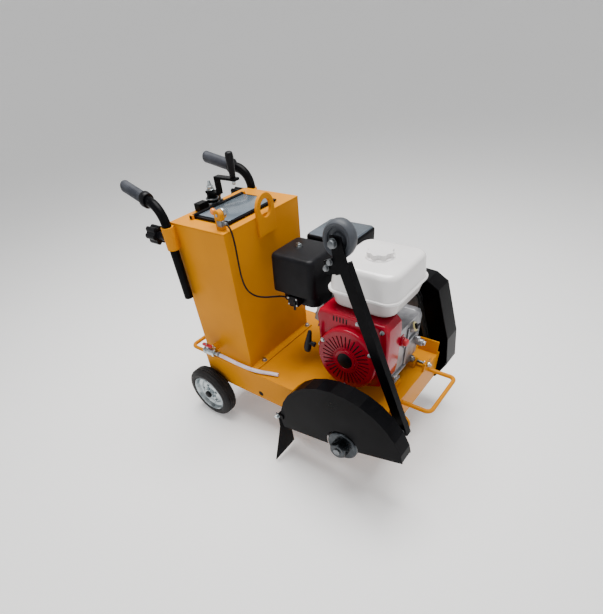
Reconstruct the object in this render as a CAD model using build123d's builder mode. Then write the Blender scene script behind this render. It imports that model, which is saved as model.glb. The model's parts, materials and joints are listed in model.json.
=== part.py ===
"""Walk-behind concrete saw: frame, engine, blade drive, water tank, lift and controls (mm).

X points forward, in the cutting direction, Y to the machine's left and Z up.
The origin is on the ground, under the middle of the whole machine's plan.
"""
import math
import os

from build123d import *

os.makedirs("parts", exist_ok=True)

# ---------------------------------------------------------------- overall layout
deck_length = 845.0
deck_width = 500.0
deck_height = 299.0          # ground to the deck's top face
skirt = 122.0                # height of the deck's side plates
sheet = 5.0                  # deck plate thickness
front_bar_reach = 116.0      # deck front to the outside of the front bar
guard_nose_reach = 134.0     # deck front to the blade guard's nose
grip_reach = 203.0           # handle post axis back to the grip's end
handle_setback = 11.0        # deck rear to the handle posts
guard_side_reach = 138.0     # deck's right side out to the flap's lower corner
belt_side_reach = 90.0       # deck's left side out to the belt guard

deck_rear = -(deck_length + guard_nose_reach - grip_reach + handle_setback - 4.2) / 2
deck_front = deck_rear + deck_length
deck_right = -(deck_width + belt_side_reach - guard_side_reach) / 2
deck_left = deck_right + deck_width
deck_under = deck_height - sheet
skirt_foot = deck_height - skirt

# ---------------------------------------------------------------- fits
running = 0.05               # radial clearance of a shaft in its bearing
gap = 0.6                    # between bodies that pass each other
joint_gap = 0.2              # between plates that are welded at their edges

tension_y = deck_right + 380.0            # belt tension screw
tension_z = deck_height + 17.0

# ---------------------------------------------------------------- wheels and axles
rear_wheel_radius = 120.0
rear_wheel_width = 65.0
rear_rim_radius = 86.0
rear_axle_radius = 10.0
rear_axle_x = deck_rear + 22.6
rear_wheel_gap = 6.0         # deck side to the wheel's inner face
front_wheel_radius = 70.0
front_wheel_width = 36.0
front_axle_radius = 9.0
front_axle_x = deck_rear + 580.0
front_wheel_inset = 97.0     # deck side to the front wheel's outer face

# ---------------------------------------------------------------- lifting frame
pivot_x = deck_rear + 300.0
pivot_z = 200.0
pivot_radius = 12.0
screw_x = deck_rear + 27.0
screw_y = deck_right + 205.0
screw_radius = 10.0
screw_foot = rear_wheel_radius + rear_axle_radius + 16.0
nut_z = 251.0
nut_radius = 18.0
nut_height = 30.0
trunnion_radius = 7.0
trunnion_slack = 2.5

# ---------------------------------------------------------------- water tank
tank_length = 255.0
tank_width = 381.0
tank_right = deck_right + 20.0
tank_left = tank_right + tank_width
tank_top_z = 806.0
tank_wall = 3.0
tank_front = deck_rear + tank_length
screw_tube_radius = 17.0
screw_tube_bore = 13.0
flange_reach = 28.0
lid_front_margin = 33.0
lid_x = (64.0, tank_length - lid_front_margin)
filler = (lid_x[0] + 8.0, lid_x[1] - 10.0, 75.0, 285.0)      # x from tank rear, y from tank right
post_x = tank_front - 34.0               # throttle post
lid_y = (58.0, 302.0)
lid_thick = 5.0
lid_rod_radius = 5.0
eye_y = deck_right + 213.5
eye_z = 824.0
eye_hole_radius = 26.0
eye_outer_radius = 43.0
eye_thick = 12.0

# ---------------------------------------------------------------- handles
handle_radius = 16.0
handle_wall = 3.0
handle_foot = 555.0
handle_bend_z = 852.0
handle_slope = 11.0
handle_toe_in = 6.5
sleeve_radius = 21.0
sleeve_low = 730.0
sleeve_high = 800.0
sleeve_stand_off = 23.0      # tank side to the handle post's axis
grip_radius = 19.0
grip_length = 128.0
knob_z = 765.0
knob_radius = 29.5

# ---------------------------------------------------------------- blade drive
blade_x = deck_rear + 755.0
blade_z = 231.0
shaft_radius = 17.5
arbor_radius = 12.7
flange_radius = 59.0
flange_thick = 12.0
flange_seat = deck_right - 74.0          # where the blade sits
nut_across_flats = 57.0
arbor_end = deck_right - 120.0
bearing_width = 40.0
bearing_length = 92.0
bearing_inset = 60.0
drive_pulley_radius = 58.0
driven_pulley_radius = 52.0
pulley_inner = deck_left + 8.0
pulley_outer = deck_left + 52.0
belt_count = 2
belt_width = 12.0
belt_depth = 9.0
belt_pitch = 20.0

# ---------------------------------------------------------------- guards
guard_half_length = 257.0
guard_rise = 244.0           # guard centre up to its crown
guard_x = deck_rear + 735.0
guard_z = 215.0
guard_facet = 12             # degrees for each flat of the top band
guard_outer = deck_right - 83.0
guard_inner = deck_right - 23.0
guard_sheet = 3.0
guard_rear_x = deck_rear + 488.0
guard_chord_rear = 178.0
guard_chord_middle = 217.0
guard_nose_x = deck_front + guard_nose_reach
guard_chord_nose = 283.0
flap_hinge_x = guard_x - guard_half_length - 12.0
flap_top = 232.0
flap_hinge_radius = 5.0

# ---------------------------------------------------------------- engine
engine_base_height = 23.0
engine_floor = deck_height + engine_base_height
crank_x = deck_rear + 661.0
crank_z = engine_floor + 133.0
crank_radius = 12.7
recoil_face = deck_right + 80.0
recoil_radius = 112.0
recoil_depth = 24.0
shroud_depth = 86.0
boss_x = deck_rear + 808.0   # stop switch boss on the shroud's front
boss_y = deck_right + 206.0
boss_z = engine_floor + 182.0
block_right = deck_right + 192.0
block_left = deck_right + 400.0
block_rear = deck_rear + 575.0
block_front = deck_rear + 782.0
block_top = 520.0
cover_thick = 26.0
fuel_x = (552.0, 802.0)
fuel_y = (116.0, 371.0)
fuel_low = 607.0
fuel_rim = 662.0
fuel_high = 738.0
fuel_wall = 3.0
neck_radius = 30.0
cap_radius = 42.5
cap_top = 755.0
cleaner_x = (320.0, 500.0)
cleaner_y = (132.0, 300.0)
cleaner_z = (600.0, 722.0)
muffler_x = (338.0, 530.0)
muffler_y = (320.0, 487.0)
muffler_z = (588.0, 722.0)

# ---------------------------------------------------------------- pointer
arm_pivot_x = deck_front + 64.0
arm_pivot_z = 283.0
arm_y = deck_right + 60.0
arm_width = 33.0
arm_depth = 26.0
arm_lean = 25.7
arm_length = 556.0
pointer_wheel_radius = 48.0
pointer_wheel_width = 34.0


# ---------------------------------------------------------------- helpers
def keep(part, name):
    """Label a finished piece and write it."""
    part.label = name
    export_step(part, f"parts/{name}.step")


def block(x, y, z, mode=Mode.ADD):
    """A box between pairs of coordinates, inside a part being built."""
    with Locations(((x[0] + x[1]) / 2, (y[0] + y[1]) / 2, (z[0] + z[1]) / 2)):
        Box(x[1] - x[0], y[1] - y[0], z[1] - z[0], mode=mode)


def rod(start, end, radius, bore=0.0, mode=Mode.ADD):
    """A round bar, or a tube with a bore, from one point to another."""
    way = Vector(*end) - Vector(*start)
    with BuildSketch(Plane(start, z_dir=way)) as section:
        Circle(radius)
        if bore:
            Circle(bore, mode=Mode.SUBTRACT)
    extrude(section.sketch, amount=way.length, mode=mode)


def plate(plane, outline, thick, mode=Mode.ADD):
    """A flat plate of a given outline, extruded along its plane's normal."""
    with BuildSketch(plane) as face:
        with BuildLine():
            Polyline(outline, close=True)
        make_face()
    extrude(face.sketch, amount=thick, mode=mode)


def side_plane(y):
    """A plane square to Y at y, whose normal points to the left (+Y): x stays x, z is -local y."""
    return Plane((0, y, 0), x_dir=(1, 0, 0), z_dir=(0, 1, 0))


def xz(points):
    """Points given as (x, z) for use on side_plane."""
    return [(x, -z) for x, z in points]


def bent_tube(points, radii, radius, bore=0.0):
    """A round tube along straight runs joined by tangent arcs."""
    with BuildLine() as path:
        FilletPolyline(*points, radius=radii)
    with BuildSketch(Plane(path.line @ 0, z_dir=path.line % 0)) as section:
        Circle(radius)
        if bore:
            Circle(bore, mode=Mode.SUBTRACT)
    sweep(section.sketch, path=path.line)


def cord_radii(points):
    """The largest tangent arcs that a cord's runs allow, one at each corner."""
    radii = []
    for before, here, after in zip(points, points[1:], points[2:]):
        first = Vector(*here) - Vector(*before)
        second = Vector(*after) - Vector(*here)
        half_turn = math.radians(first.get_angle(second)) / 2
        radii.append(0.45 * min(first.length, second.length) / math.tan(half_turn))
    return radii


def cord(name, points, radius):
    """A plain tube along a cord's route, with its length and volume printed."""
    radii = cord_radii(points)
    with BuildPart() as tube:
        with BuildLine() as path:
            route = FilletPolyline(*points, radius=radii)
        with BuildSketch(Plane(route @ 0, z_dir=route % 0)) as section:
            Circle(radius)
        sweep(section.sketch, path=path.line)
    length = route.length
    expected = math.pi * radius**2 * length
    print(name, "arc radii", [round(r) for r in radii])
    print(name, f"length {length:.1f} volume {tube.part.volume:.0f} expected {expected:.0f}")
    keep(tube.part, name)


# ---------------------------------------------------------------- deck
def make_deck_plate():
    with BuildPart() as deck:
        block((deck_rear, deck_front), (deck_right, deck_left), (deck_under, deck_height))
        rod((screw_x, screw_y, deck_under - 1), (screw_x, screw_y, deck_height + 1),
            screw_tube_bore, mode=Mode.SUBTRACT)
    keep(deck.part, "deck_plate")


def side_plate(y):
    """One side plate: a skirt with a hanger for the rear axle at its back end."""
    hanger = rear_axle_x + 30.0
    outline = [(deck_rear, deck_under), (deck_rear, 100.0), (hanger, 100.0),
               (hanger + 30.0, skirt_foot), (deck_front, skirt_foot), (deck_front, deck_under)]
    plate(side_plane(y), xz(outline), sheet)
    holes = [(rear_axle_x, rear_wheel_radius, rear_axle_radius + running),
             (pivot_x, pivot_z, pivot_radius + running),
             (blade_x, blade_z, shaft_radius + 6.0)]
    for x, z, radius in holes:
        rod((x, y - 1, z), (x, y + sheet + 1, z), radius, mode=Mode.SUBTRACT)


def make_deck_skirts():
    """Side and end plates, the ear for the pointer arm and two uprights at the front left corner."""
    inside = (deck_right + sheet + joint_gap, deck_left - sheet - joint_gap)
    ear_y = arm_y + arm_depth / 2 + 2.0
    ear_x = arm_pivot_x - 24.0
    upright = (deck_left - 22.0, deck_left - 16.0)
    with BuildPart() as skirts:
        side_plate(deck_right)
        side_plate(deck_left - sheet)
        block((deck_rear, deck_rear + sheet), inside, (skirt_foot, deck_under))
        block((deck_front - sheet, deck_front), inside, (skirt_foot, deck_under))
        block((deck_front, ear_x), (ear_y, ear_y + 8.0), (arm_pivot_z - 40.0, arm_pivot_z + 40.0))
        rod((ear_x, ear_y, arm_pivot_z), (ear_x, ear_y + 8.0, arm_pivot_z), 40.0)
        rod((arm_pivot_x, ear_y - 1, arm_pivot_z), (arm_pivot_x, ear_y + 9.0, arm_pivot_z),
            8.0 + running, mode=Mode.SUBTRACT)
        block((deck_front - 84.0, deck_front - 4.0), upright, (deck_height, deck_height + 54.0))
        block((deck_front - 8.0, deck_front), (tension_y - 30.0, tension_y + 30.0),
              (deck_height, deck_height + 34.0))
        rod((deck_front - 9.0, tension_y, tension_z), (deck_front + 1.0, tension_y, tension_z), 6.1,
            mode=Mode.SUBTRACT)
    keep(skirts.part, "deck_skirts")


def make_bumper_bars():
    bar = 8.0
    reach_front = deck_front + front_bar_reach - bar
    reach_rear = deck_rear - 124.0
    rear_y = (deck_right + 28.0, deck_left - 28.0)
    front_y = (deck_right + 184.0, deck_right + 407.0)
    z = deck_under - 20.0
    with BuildPart() as bars:
        for x_in, x_out, y, corner in ((deck_front, reach_front, front_y, 22.0),
                                       (deck_rear, reach_rear, rear_y, 24.0)):
            route = [(x_in, y[0], z), (x_out, y[0], z), (x_out, y[1], z), (x_in, y[1], z)]
            bent_tube(route, corner, bar)
    keep(bars.part, "bumper_bars")


# ---------------------------------------------------------------- tank
def make_tank_shell():
    rear, right = deck_rear, tank_right
    low, high = deck_height, tank_top_z - tank_wall
    stub_x, stub_z = deck_rear + 72.0, 348.0
    with BuildPart() as shell:
        block((rear, tank_front), (right, tank_left), (low, high))
        block((rear + tank_wall, tank_front - tank_wall), (right + tank_wall, tank_left - tank_wall),
              (low + tank_wall, high + 1), mode=Mode.SUBTRACT)
        rod((screw_x, screw_y, low), (screw_x, screw_y, high), screw_tube_radius)
        rod((screw_x, screw_y, low - 1), (screw_x, screw_y, high + 1), screw_tube_bore,
            mode=Mode.SUBTRACT)
        block((tank_front, tank_front + flange_reach), (right, tank_left), (low, low + 6.0))
        rod((stub_x, right + tank_wall, stub_z), (stub_x, right - 26.0, stub_z), 14.0)
        rod((stub_x, right + tank_wall + 1, stub_z), (stub_x, right - 27.0, stub_z), 9.0,
            mode=Mode.SUBTRACT)
    keep(shell.part, "tank_shell")


def make_tank_top():
    low, high = tank_top_z - tank_wall, tank_top_z
    hinge_x, hinge_z = deck_rear + lid_x[0] - 6.0, high + 6.0
    post_y = (deck_right + 40.0, deck_right + 57.0)
    with BuildPart() as top:
        block((deck_rear, tank_front), (tank_right, tank_left), (low, high))
        block((deck_rear + filler[0], deck_rear + filler[1]),
              (tank_right + filler[2], tank_right + filler[3]), (low - 1, high + 1),
              mode=Mode.SUBTRACT)
        for y in (tank_right + lid_y[0] - 10.0, tank_right + lid_y[1] + 2.0):
            block((hinge_x - 8.0, hinge_x + 8.0), (y, y + 8.0), (high, hinge_z + 7.0))
            rod((hinge_x, y - 1, hinge_z), (hinge_x, y + 9.0, hinge_z), lid_rod_radius + running,
                mode=Mode.SUBTRACT)
        block((post_x - 13.0, post_x + 13.0), post_y, (high, high + 42.0))
        rod((post_x, post_y[0], high + 42.0), (post_x, post_y[1], high + 42.0), 13.0)
        rod((post_x, post_y[0] - 1, high + 42.0), (post_x, post_y[1] + 1, high + 42.0), 4.0 + running,
            mode=Mode.SUBTRACT)
        rod((screw_x, screw_y, low - 1), (screw_x, screw_y, high + 1), screw_tube_bore,
            mode=Mode.SUBTRACT)
    keep(top.part, "tank_top")


def make_tank_lid():
    high = tank_top_z
    hinge_x, hinge_z = deck_rear + lid_x[0] - 6.0, high + 6.0
    y = (tank_right + lid_y[0], tank_right + lid_y[1])
    with BuildPart() as lid:
        block((hinge_x, deck_rear + lid_x[1]), y, (hinge_z - lid_thick / 2, hinge_z + lid_thick / 2))
        rod((hinge_x, y[0] - 12.0, hinge_z), (hinge_x, y[1] + 12.0, hinge_z), lid_rod_radius)
    keep(lid.part, "tank_lid")


def make_lifting_eye():
    """Flat eye welded to the tank's front wall, standing above its top."""
    foot = 748.0
    face = Plane((tank_front, 0, 0), x_dir=(0, 1, 0), z_dir=(1, 0, 0))
    with BuildPart() as eye:
        with BuildSketch(face):
            with Locations((eye_y, eye_z)):
                Circle(eye_outer_radius)
            with BuildLine():
                Polyline((eye_y - eye_outer_radius, eye_z), (eye_y - eye_outer_radius, foot),
                         (eye_y + eye_outer_radius, foot), (eye_y + eye_outer_radius, eye_z), close=True)
            make_face()
            with Locations((eye_y, eye_z)):
                Circle(eye_hole_radius, mode=Mode.SUBTRACT)
        extrude(amount=eye_thick)
    keep(eye.part, "lifting_eye")


def make_outlet_valve():
    """Ball valve body lying along X beside the tank, with the spout for the hose."""
    x, y, z = deck_rear + 72.0, deck_right - 27.0, 348.0
    with BuildPart() as valve:
        rod((x - 22.0, y, z), (x + 34.0, y, z), 15.0)
        rod((x + 34.0, y, z), (x + 46.0, y, z), 7.5)
        rod((x, y, z), (x, tank_right - 26.0, z), 15.0)
        rod((x - 6.0, y, z), (x - 6.0, y, z + 22.0), 7.0)
        rod((x - 6.0, y, z + 14.0), (x - 6.0, y, z + 23.0), 3.0 + running, mode=Mode.SUBTRACT)
    keep(valve.part, "valve_body")
    with BuildPart() as lever:
        rod((x - 6.0, y, z + 15.0), (x - 6.0, y, z + 23.0), 3.0)
        block((x - 32.0, x + 20.0), (y - 8.0, y + 8.0), (z + 22.6, z + 28.0))
        fillet(lever.edges().filter_by(Axis.Z), radius=7.0)
    keep(lever.part, "valve_lever")


# ---------------------------------------------------------------- wheels
def make_rear_axle():
    reach = rear_wheel_gap + rear_wheel_width + 6.0
    with BuildPart() as axle:
        rod((rear_axle_x, deck_right - reach, rear_wheel_radius),
            (rear_axle_x, deck_left + reach, rear_wheel_radius), rear_axle_radius)
    keep(axle.part, "rear_axle")


def make_rear_wheel(side, face, outward):
    """A rubber tyre on a pressed steel rim. face is the wheel's inner face."""
    x, z = rear_axle_x, rear_wheel_radius
    outer = face + outward * rear_wheel_width
    middle = (face + outer) / 2
    with BuildPart() as tyre:
        rod((x, face, z), (x, outer, z), rear_wheel_radius, rear_rim_radius)
        rims = tyre.edges().filter_by(GeomType.CIRCLE).sort_by(SortBy.RADIUS)[-2:]
        fillet(rims, radius=11.0)
    keep(tyre.part, f"rear_tyre_{side}")
    with BuildPart() as rim:
        rod((x, face + outward * 3.0, z), (x, outer - outward * 3.0, z), rear_rim_radius,
            rear_rim_radius - 4.0)
        rod((x, middle - 3.0, z), (x, middle + 3.0, z), rear_rim_radius - 2.0)
        rod((x, face + outward * 2.0, z), (x, outer - outward * 2.0, z), 24.0)
        rod((x, face - outward, z), (x, outer + outward, z), rear_axle_radius + running,
            mode=Mode.SUBTRACT)
    keep(rim.part, f"rear_rim_{side}")


def make_front_wheels():
    x, z = front_axle_x, front_wheel_radius
    for side, outer, inward in (("right", deck_right + front_wheel_inset, 1),
                                ("left", deck_left - front_wheel_inset, -1)):
        inner = outer + inward * front_wheel_width
        with BuildPart() as wheel:
            rod((x, outer, z), (x, inner, z), front_wheel_radius, front_axle_radius + running)
            treads = wheel.edges().filter_by(GeomType.CIRCLE).sort_by(SortBy.RADIUS)[-2:]
            fillet(treads, radius=7.0)
        keep(wheel.part, f"front_wheel_{side}")


# ---------------------------------------------------------------- lift
def make_lift_frame():
    """Pivot shaft, two arms to the front axle and a slotted fork round the lifting nut."""
    axle_z = front_wheel_radius
    fork_reach = math.hypot(pivot_x - screw_x, nut_z - pivot_z)
    fork_tilt = math.degrees(math.atan2(nut_z - pivot_z, pivot_x - screw_x))
    arm_tilt = math.degrees(math.atan2(pivot_z - axle_z, front_axle_x - pivot_x))
    arm_reach = math.hypot(front_axle_x - pivot_x, pivot_z - axle_z)
    slot = trunnion_radius + trunnion_slack
    with BuildPart() as frame:
        rod((pivot_x, deck_right + 0.5, pivot_z), (pivot_x, deck_left - 0.5, pivot_z), pivot_radius)
        for y in (deck_right + 138.0, deck_left - 146.0):
            arm = Plane((pivot_x, y, pivot_z), x_dir=(1, 0, 0), z_dir=(0, 1, 0)).rotated((0, arm_tilt, 0))
            plate(arm, [(-22, -20), (arm_reach + 16, -14), (arm_reach + 16, 14), (-22, 20)], 8.0)
        rod((front_axle_x, deck_right + front_wheel_inset - 6.0, axle_z),
            (front_axle_x, deck_left - front_wheel_inset + 6.0, axle_z), front_axle_radius)
        for y in (screw_y - 31.0, screw_y + 23.0):
            fork = Plane((pivot_x, y, pivot_z), x_dir=(-1, 0, 0), z_dir=(0, 1, 0)).rotated((0, fork_tilt, 0))
            plate(fork, [(-20, -20), (fork_reach + 12, -17), (fork_reach + 12, 17), (-20, 20)], 8.0)
            with BuildSketch(fork) as opening:
                with Locations((fork_reach + 12.0, 0)):
                    SlotOverall(2 * slot + 40.0, 2 * slot)
            extrude(opening.sketch, amount=8.0, mode=Mode.SUBTRACT)
    keep(frame.part, "lift_frame")


def make_lift_nut():
    with BuildPart() as nut:
        rod((screw_x, screw_y, nut_z - nut_height / 2), (screw_x, screw_y, nut_z + nut_height / 2),
            nut_radius)
        rod((screw_x, screw_y - 34.0, nut_z), (screw_x, screw_y + 34.0, nut_z), trunnion_radius)
        rod((screw_x, screw_y, nut_z - nut_height), (screw_x, screw_y, nut_z + nut_height),
            screw_radius + running, mode=Mode.SUBTRACT)
    keep(nut.part, "lift_nut")


def make_crank_bearing():
    high = tank_top_z
    with BuildPart() as bearing:
        block((deck_rear + 4.0, deck_rear + 50.0), (screw_y - 34.0, screw_y + 34.0), (high, high + 6.0))
        block((deck_rear + 10.0, deck_rear + 38.0), (screw_y - 74.0, screw_y - 33.0), (high, high + 24.0))
        rod((screw_x, screw_y, high), (screw_x, screw_y, high + 26.0), 20.0)
        block((deck_rear + 6.0, deck_rear + 12.0), (screw_y + 14.0, screw_y + 54.0), (high, high + 34.0))
        rod((screw_x, screw_y, high - 1), (screw_x, screw_y, high + 27.0), screw_radius + running,
            mode=Mode.SUBTRACT)
    keep(bearing.part, "crank_bearing")


def make_crank():
    """Screw, cranked flat bar and the grip that turns on its end."""
    hub_z = tank_top_z + 28.0
    arm_z = 890.0
    turn = 2.0
    across = Plane((screw_x, screw_y, 0), x_dir=(math.cos(math.radians(turn)),
                   math.sin(math.radians(turn)), 0), z_dir=(math.sin(math.radians(turn)),
                   -math.cos(math.radians(turn)), 0))
    grip_reach_out = 117.0
    grip_at = across.from_local_coords((grip_reach_out, 0, 0))
    with BuildPart() as crank:
        rod((screw_x, screw_y, screw_foot), (screw_x, screw_y, hub_z + 20.0), screw_radius)
        rod((screw_x, screw_y, hub_z), (screw_x, screw_y, hub_z + 10.0), 17.0)
        rod((screw_x, screw_y, deck_under - 8.0), (screw_x, screw_y, deck_under - 1.0), 17.0)
        bar = [(-16, hub_z + 10), (46, hub_z + 10), (46, arm_z), (133, arm_z), (133, arm_z + 7),
               (39, arm_z + 7), (39, hub_z + 17), (-16, hub_z + 17)]
        with BuildSketch(across) as outline:
            with BuildLine():
                Polyline(bar, close=True)
            make_face()
        extrude(outline.sketch, amount=12.0, both=True)
        rod((grip_at.X, grip_at.Y, arm_z - 12.0), (grip_at.X, grip_at.Y, 950.0), 5.0)
    keep(crank.part, "lift_crank")
    with BuildPart() as grip:
        with BuildSketch(Plane((grip_at.X, grip_at.Y, 0), x_dir=(1, 0, 0), z_dir=(0, -1, 0))):
            with BuildLine():
                Polyline((0, arm_z + 7 + gap), (9.5, arm_z + 7 + gap), (13.5, 952), (12, 963), (7, 966),
                         (0, 966), close=True)
            make_face()
        revolve(axis=Axis((grip_at.X, grip_at.Y, 0), (0, 0, 1)))
        rod((grip_at.X, grip_at.Y, arm_z), (grip_at.X, grip_at.Y, 950.0 + gap), 5.0 + running,
            mode=Mode.SUBTRACT)
    keep(grip.part, "crank_grip")


# ---------------------------------------------------------------- handles
def make_handle_sleeves():
    x = deck_rear + handle_setback
    with BuildPart() as sleeves:
        for y, inward, wall in ((tank_right - sleeve_stand_off, 1, tank_right),
                                (tank_left + sleeve_stand_off, -1, tank_left)):
            rod((x, y, sleeve_low), (x, y, sleeve_high), sleeve_radius)
            lug = sorted((y + inward * (sleeve_radius - 4.0), wall))
            block((deck_rear, deck_rear + 2 * handle_setback), lug, (sleeve_low, sleeve_high))
            rod((x, y, sleeve_low - 1), (x, y, sleeve_high + 1), handle_radius + running,
                mode=Mode.SUBTRACT)
            rod((x - sleeve_radius - 2, y, knob_z), (x, y, knob_z), 5.0 + running, mode=Mode.SUBTRACT)
    keep(sleeves.part, "handle_sleeves")


def handle_line(y, inward):
    """The handle's corner and end, and the direction of its grip."""
    toe = math.radians(handle_toe_in)
    slope = math.radians(handle_slope)
    way = Vector(-math.cos(toe) * math.cos(slope), inward * math.sin(toe) * math.cos(slope),
                 math.sin(slope))
    corner = Vector(deck_rear + handle_setback, y, handle_bend_z)
    end = corner + way * (grip_reach / -way.X)
    return corner, end, way


def make_handle(side, y, inward):
    corner, end, way = handle_line(y, inward)
    foot = (corner.X, y, handle_foot)
    with BuildPart() as handle:
        bent_tube([foot, tuple(corner), tuple(end - way * 6.0)], 62.0, handle_radius,
                  handle_radius - handle_wall)
    keep(handle.part, f"handle_{side}")
    grip_start = end - way * grip_length
    with BuildPart() as grip:
        rod(tuple(grip_start), tuple(end), grip_radius)
        rod(tuple(grip_start), tuple(grip_start + way * 10.0), grip_radius + 4.0)
        rod(tuple(grip_start - way), tuple(end - way * 6.0), handle_radius, mode=Mode.SUBTRACT)
    keep(grip.part, f"grip_{side}")


def make_knob(side, y):
    """A six-lobed clamping knob whose screw reaches the handle post."""
    x = deck_rear + handle_setback
    head = x - 99.0
    neck = x - 54.0
    facing = Plane((head, y, knob_z), x_dir=(0, 1, 0), z_dir=(1, 0, 0))
    with BuildPart() as knob:
        with BuildSketch(facing):
            Circle(knob_radius - 7.0)
            with PolarLocations(knob_radius - 9.0, 6):
                Circle(9.0)
        extrude(amount=neck - head)
        rod((neck, y, knob_z), (x - sleeve_radius - 1.0, y, knob_z), 13.0)
        rod((neck, y, knob_z), (x - handle_radius - gap, y, knob_z), 5.0)
    keep(knob.part, f"knob_{side}")


# ---------------------------------------------------------------- throttle
def make_throttle_lever():
    x, y, z = post_x, deck_right + 57.0, tank_top_z + 42.0
    with BuildPart() as lever:
        rod((x - 48.0, y + 5.5, z), (x - 29.0, y + 5.5, z), 9.5)
        fillet(lever.edges().filter_by(GeomType.CIRCLE), radius=8.0)
        block((x - 32.0, x), (y + 3.0, y + 8.0), (z - 4.0, z + 4.0))
        rod((x, y - 19.0, z), (x, y + gap, z), 4.0)
        rod((x, y + gap, z), (x, y + 11.0, z), 14.0)
    keep(lever.part, "throttle_lever")


# ---------------------------------------------------------------- blade drive
def make_shaft_bearings():
    x = (blade_x - bearing_length / 2, blade_x + bearing_length / 2)
    with BuildPart() as bearings:
        for y in (deck_right + bearing_inset, deck_left - bearing_inset - bearing_width):
            block(x, (y, y + bearing_width), (blade_z + 34.0, deck_under))
            rod((blade_x, y, blade_z), (blade_x, y + bearing_width, blade_z), 42.0)
            rod((blade_x, y - 1, blade_z), (blade_x, y + bearing_width + 1, blade_z),
                shaft_radius + running, mode=Mode.SUBTRACT)
    keep(bearings.part, "shaft_bearings")


def make_blade_shaft():
    with BuildPart() as shaft:
        rod((blade_x, flange_seat + flange_thick, blade_z), (blade_x, pulley_outer + 4.0, blade_z),
            shaft_radius)
        rod((blade_x, flange_seat, blade_z), (blade_x, flange_seat + flange_thick, blade_z),
            flange_radius)
        rod((blade_x, arbor_end, blade_z), (blade_x, flange_seat, blade_z), arbor_radius)
    keep(shaft.part, "blade_shaft")


def make_outer_flange_and_nut():
    seat = flange_seat - gap
    face = seat - flange_thick
    nut_depth = 30.0
    with BuildPart() as flange:
        rod((blade_x, seat, blade_z), (blade_x, face, blade_z), flange_radius, arbor_radius + running)
        chamfer(flange.edges().group_by(Axis.Y)[0].sort_by(SortBy.RADIUS)[-1], length=4.0)
    keep(flange.part, "outer_flange")
    with BuildPart() as nut:
        with BuildSketch(Plane((blade_x, face, blade_z), x_dir=(1, 0, 0), z_dir=(0, -1, 0))):
            RegularPolygon(nut_across_flats / 2, 6, major_radius=False)
            Circle(arbor_radius + running, mode=Mode.SUBTRACT)
        extrude(amount=nut_depth)
    keep(nut.part, "blade_nut")


def pulley(x, z, radius, bore):
    """A flat-sided pulley with one groove for each belt."""
    rod((x, pulley_inner, z), (x, pulley_outer, z), radius, bore)
    groove = belt_width / 2 + 0.5
    for middle in belt_places():
        rod((x, middle - groove, z), (x, middle + groove, z), radius + 1.0,
            radius - belt_depth - 1.5, mode=Mode.SUBTRACT)


def belt_places():
    """The middle of each belt, spread evenly over the pulleys' width."""
    centre = (pulley_inner + pulley_outer) / 2
    return [centre + belt_pitch * (i - (belt_count - 1) / 2) for i in range(belt_count)]


def make_pulleys():
    with BuildPart() as drive:
        pulley(crank_x, crank_z, drive_pulley_radius, crank_radius)
    keep(drive.part, "drive_pulley")
    with BuildPart() as driven:
        pulley(blade_x, blade_z, driven_pulley_radius, shaft_radius)
    keep(driven.part, "driven_pulley")


def belt_loop(plane, grow):
    """The outline round both pulleys, grown or shrunk from their rims."""
    with BuildSketch(plane) as loop:
        with BuildLine():
            CenterArc((crank_x, -crank_z), drive_pulley_radius + grow, 0, 360)
            CenterArc((blade_x, -blade_z), driven_pulley_radius + grow, 0, 360)
        make_hull()
    return loop.sketch


def make_v_belts():
    with BuildPart() as belts:
        for middle in belt_places():
            base = side_plane(middle - belt_width / 2)
            extrude(belt_loop(base, 0.0), amount=belt_width)
            extrude(belt_loop(base, -belt_depth), amount=belt_width, mode=Mode.SUBTRACT)
    keep(belts.part, "v_belts")


# ---------------------------------------------------------------- guards
def guard_outline(shrink):
    """The blade guard's side: facets over the top, a nose at the front and a bent chord below."""
    points = []
    for angle in range(180, guard_facet, -guard_facet):
        points.append((guard_x + (guard_half_length - shrink) * math.cos(math.radians(angle)),
                       guard_z + (guard_rise - shrink) * math.sin(math.radians(angle))))
    points.append((guard_nose_x - shrink, guard_chord_nose))
    points.append((blade_x, guard_chord_middle))
    points.append((guard_rear_x + shrink, guard_chord_rear))
    return points


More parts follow.
